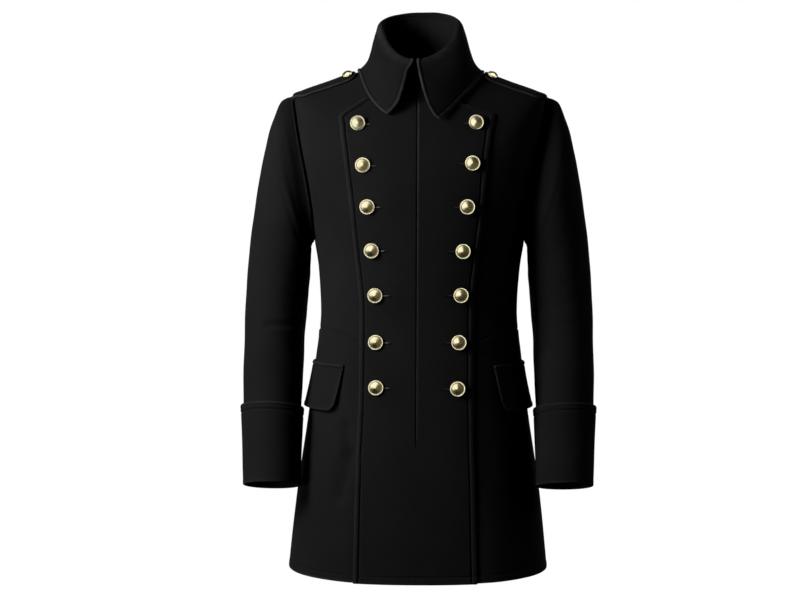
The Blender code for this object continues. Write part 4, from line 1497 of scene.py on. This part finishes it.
def make_buttonholes():
    """Worked buttonholes that run from under each panel button toward the slit, with a highlight painted on
    the upper cord near the button.
    """
    cords = []
    wear_and_painted_light = []
    straight = HOLE_LENGTH - 2 * HOLE_HALF
    bend = np.linspace(-math.pi / 2, math.pi / 2, HOLE_END_POINTS)
    end = HOLE_HALF * np.cos(bend)
    end_side = HOLE_HALF * np.sin(bend)
    run = np.linspace(0, straight, HOLE_SIDE_POINTS)[1:-1]
    run_side = np.full(len(run), HOLE_HALF)
    along = np.concatenate([straight + end, run[::-1], -end, run]) + HOLE_HALF
    across = np.concatenate([end_side, run_side, -end_side, -run_side])
    radius = PURL_RADIUS * (1 + PURL_SWELL * np.sin(np.arange(len(along)) * PURL_STEP))
    for side, way in SIDES.items():
        # Painted highlight on the upper cord near the button, stronger on the side toward the key light
        wear_and_highlight = HOLE_HIGHLIGHT_SIDES[side] * bell(along, *HOLE_HIGHLIGHT) * (across > 0)
        for x, z in zip(BUTTONS[side + "_x"], BUTTONS[side + "_z"]):
            low, high = [place(x - off, z - HOLE_DROP)[0] for off in (0.0, HOLE_LENGTH)]
            level = low + (high - low) * along / HOLE_LENGTH + across
            path, normal = cloth_normal(level, way * angle_at(level, x - along))
            path = path + normal * (LAP + WALL + HOLE_LIFT)
            cords.append(tube(path, normal.mean(0), radius, PURL_SIDES))
            wear_and_painted_light.append(np.repeat(wear_and_highlight, PURL_SIDES))
    join("buttonhole_thread", cords, np.concatenate(wear_and_painted_light))


def make_bar_tack():
    """Thread bar across the foot of the panel's slit."""
    lines = []
    x = np.linspace(-TACK_HALF, TACK_HALF, TACK_POINTS) - PANEL_SHIFT
    for row in TACK_ROWS:
        level = np.full(len(x), SLIT_END + TACK_PITCH * row)
        path, normal = cloth_normal(level, angle_at(level, x))
        lines.append((path + normal * (LAP + WALL + TACK_LIFT), normal))
    sew("slit_bar_tack", lines)


def add_light(name, place_at, aim, size, power, lights_cloth=True, colour=WHITE):
    """Round soft light. One that doesn't light cloth shows in the brass alone, as a pale card does."""
    data = bpy.data.lights.new(name, "AREA")
    data.shape = "DISK"
    data.size = size
    data.energy = power
    data.color = colour
    item = bpy.data.objects.new(name, data)
    item.visible_diffuse = lights_cloth
    item.visible_glossy = not lights_cloth
    item.location = place_at
    toward = np.array(aim) - np.array(place_at)
    flat = math.hypot(toward[0], toward[1])
    item.rotation_euler = (math.atan2(flat, -toward[2]), 0.0, math.atan2(-toward[0], toward[1]))
    item.visible_camera = False
    bpy.context.scene.collection.objects.link(item)


def make_stage():
    """Pale floor well below the coat, white surroundings and soft light from the upper left."""
    bpy.ops.mesh.primitive_circle_add(vertices=96, radius=2.3, fill_type="NGON", location=(0.0, 0.0, -1.50))
    floor = bpy.context.object
    floor.name = "floor"
    floor.data.materials.append(make_floor_paper())
    floor.visible_diffuse = False
    floor.visible_glossy = False
    world = bpy.data.worlds.new("white_surroundings")
    bpy.context.scene.world = world
    world.use_nodes = True
    background = world.node_tree.nodes["Background"]
    background.inputs["Color"].default_value = WHITE + (1.0,)
    background.inputs["Strength"].default_value = 1.0
    world.cycles_visibility.diffuse = False
    world.cycles_visibility.glossy = False
    for name, (place_at, size, power) in LAMPS.items():
        add_light(name, place_at, LAMP_AIM, size, power)
    for name, (place_at, size, power, colour) in CARDS.items():
        add_light(name, place_at, LAMP_AIM, size, power, False, colour)
    for step in range(CARD_COUNT):
        turn = step * math.tau / CARD_COUNT
        place_at = (CARD_RING * math.sin(turn), CARD_FORWARD, CARD_RING * math.cos(turn) + CARD_AIM[2])
        add_light(f"card_{step}", place_at, CARD_AIM, CARD_SIZE, CARD_POWER, False, COOL)


def make_camera():
    data = bpy.data.cameras.new("camera")
    data.sensor_width = 36.0
    data.lens = 66.06
    data.shift_x = -0.0277
    item = bpy.data.objects.new("camera", data)
    item.location = (0.0, -2.5, -0.400)
    item.rotation_euler = (math.pi / 2, -0.0042, 0.0)
    bpy.context.scene.collection.objects.link(item)
    bpy.context.scene.camera = item


make_camera()
make_stage()
bpy.context.scene.view_settings.view_transform = "Standard"
WOOL = make_wool()
THREAD = make_thread()
BRASS = make_brass()
sew("stitching_hem", make_back() + make_fronts())
sew("stitching_panel", make_panel())
make_stand()
sew("stitching_collar", make_fall())
sew("stitching_cuffs", make_sleeves())
sew("stitching_straps", make_straps())
sew("stitching_flaps", make_flaps())
make_buttons()
make_buttonholes()
make_bar_tack()
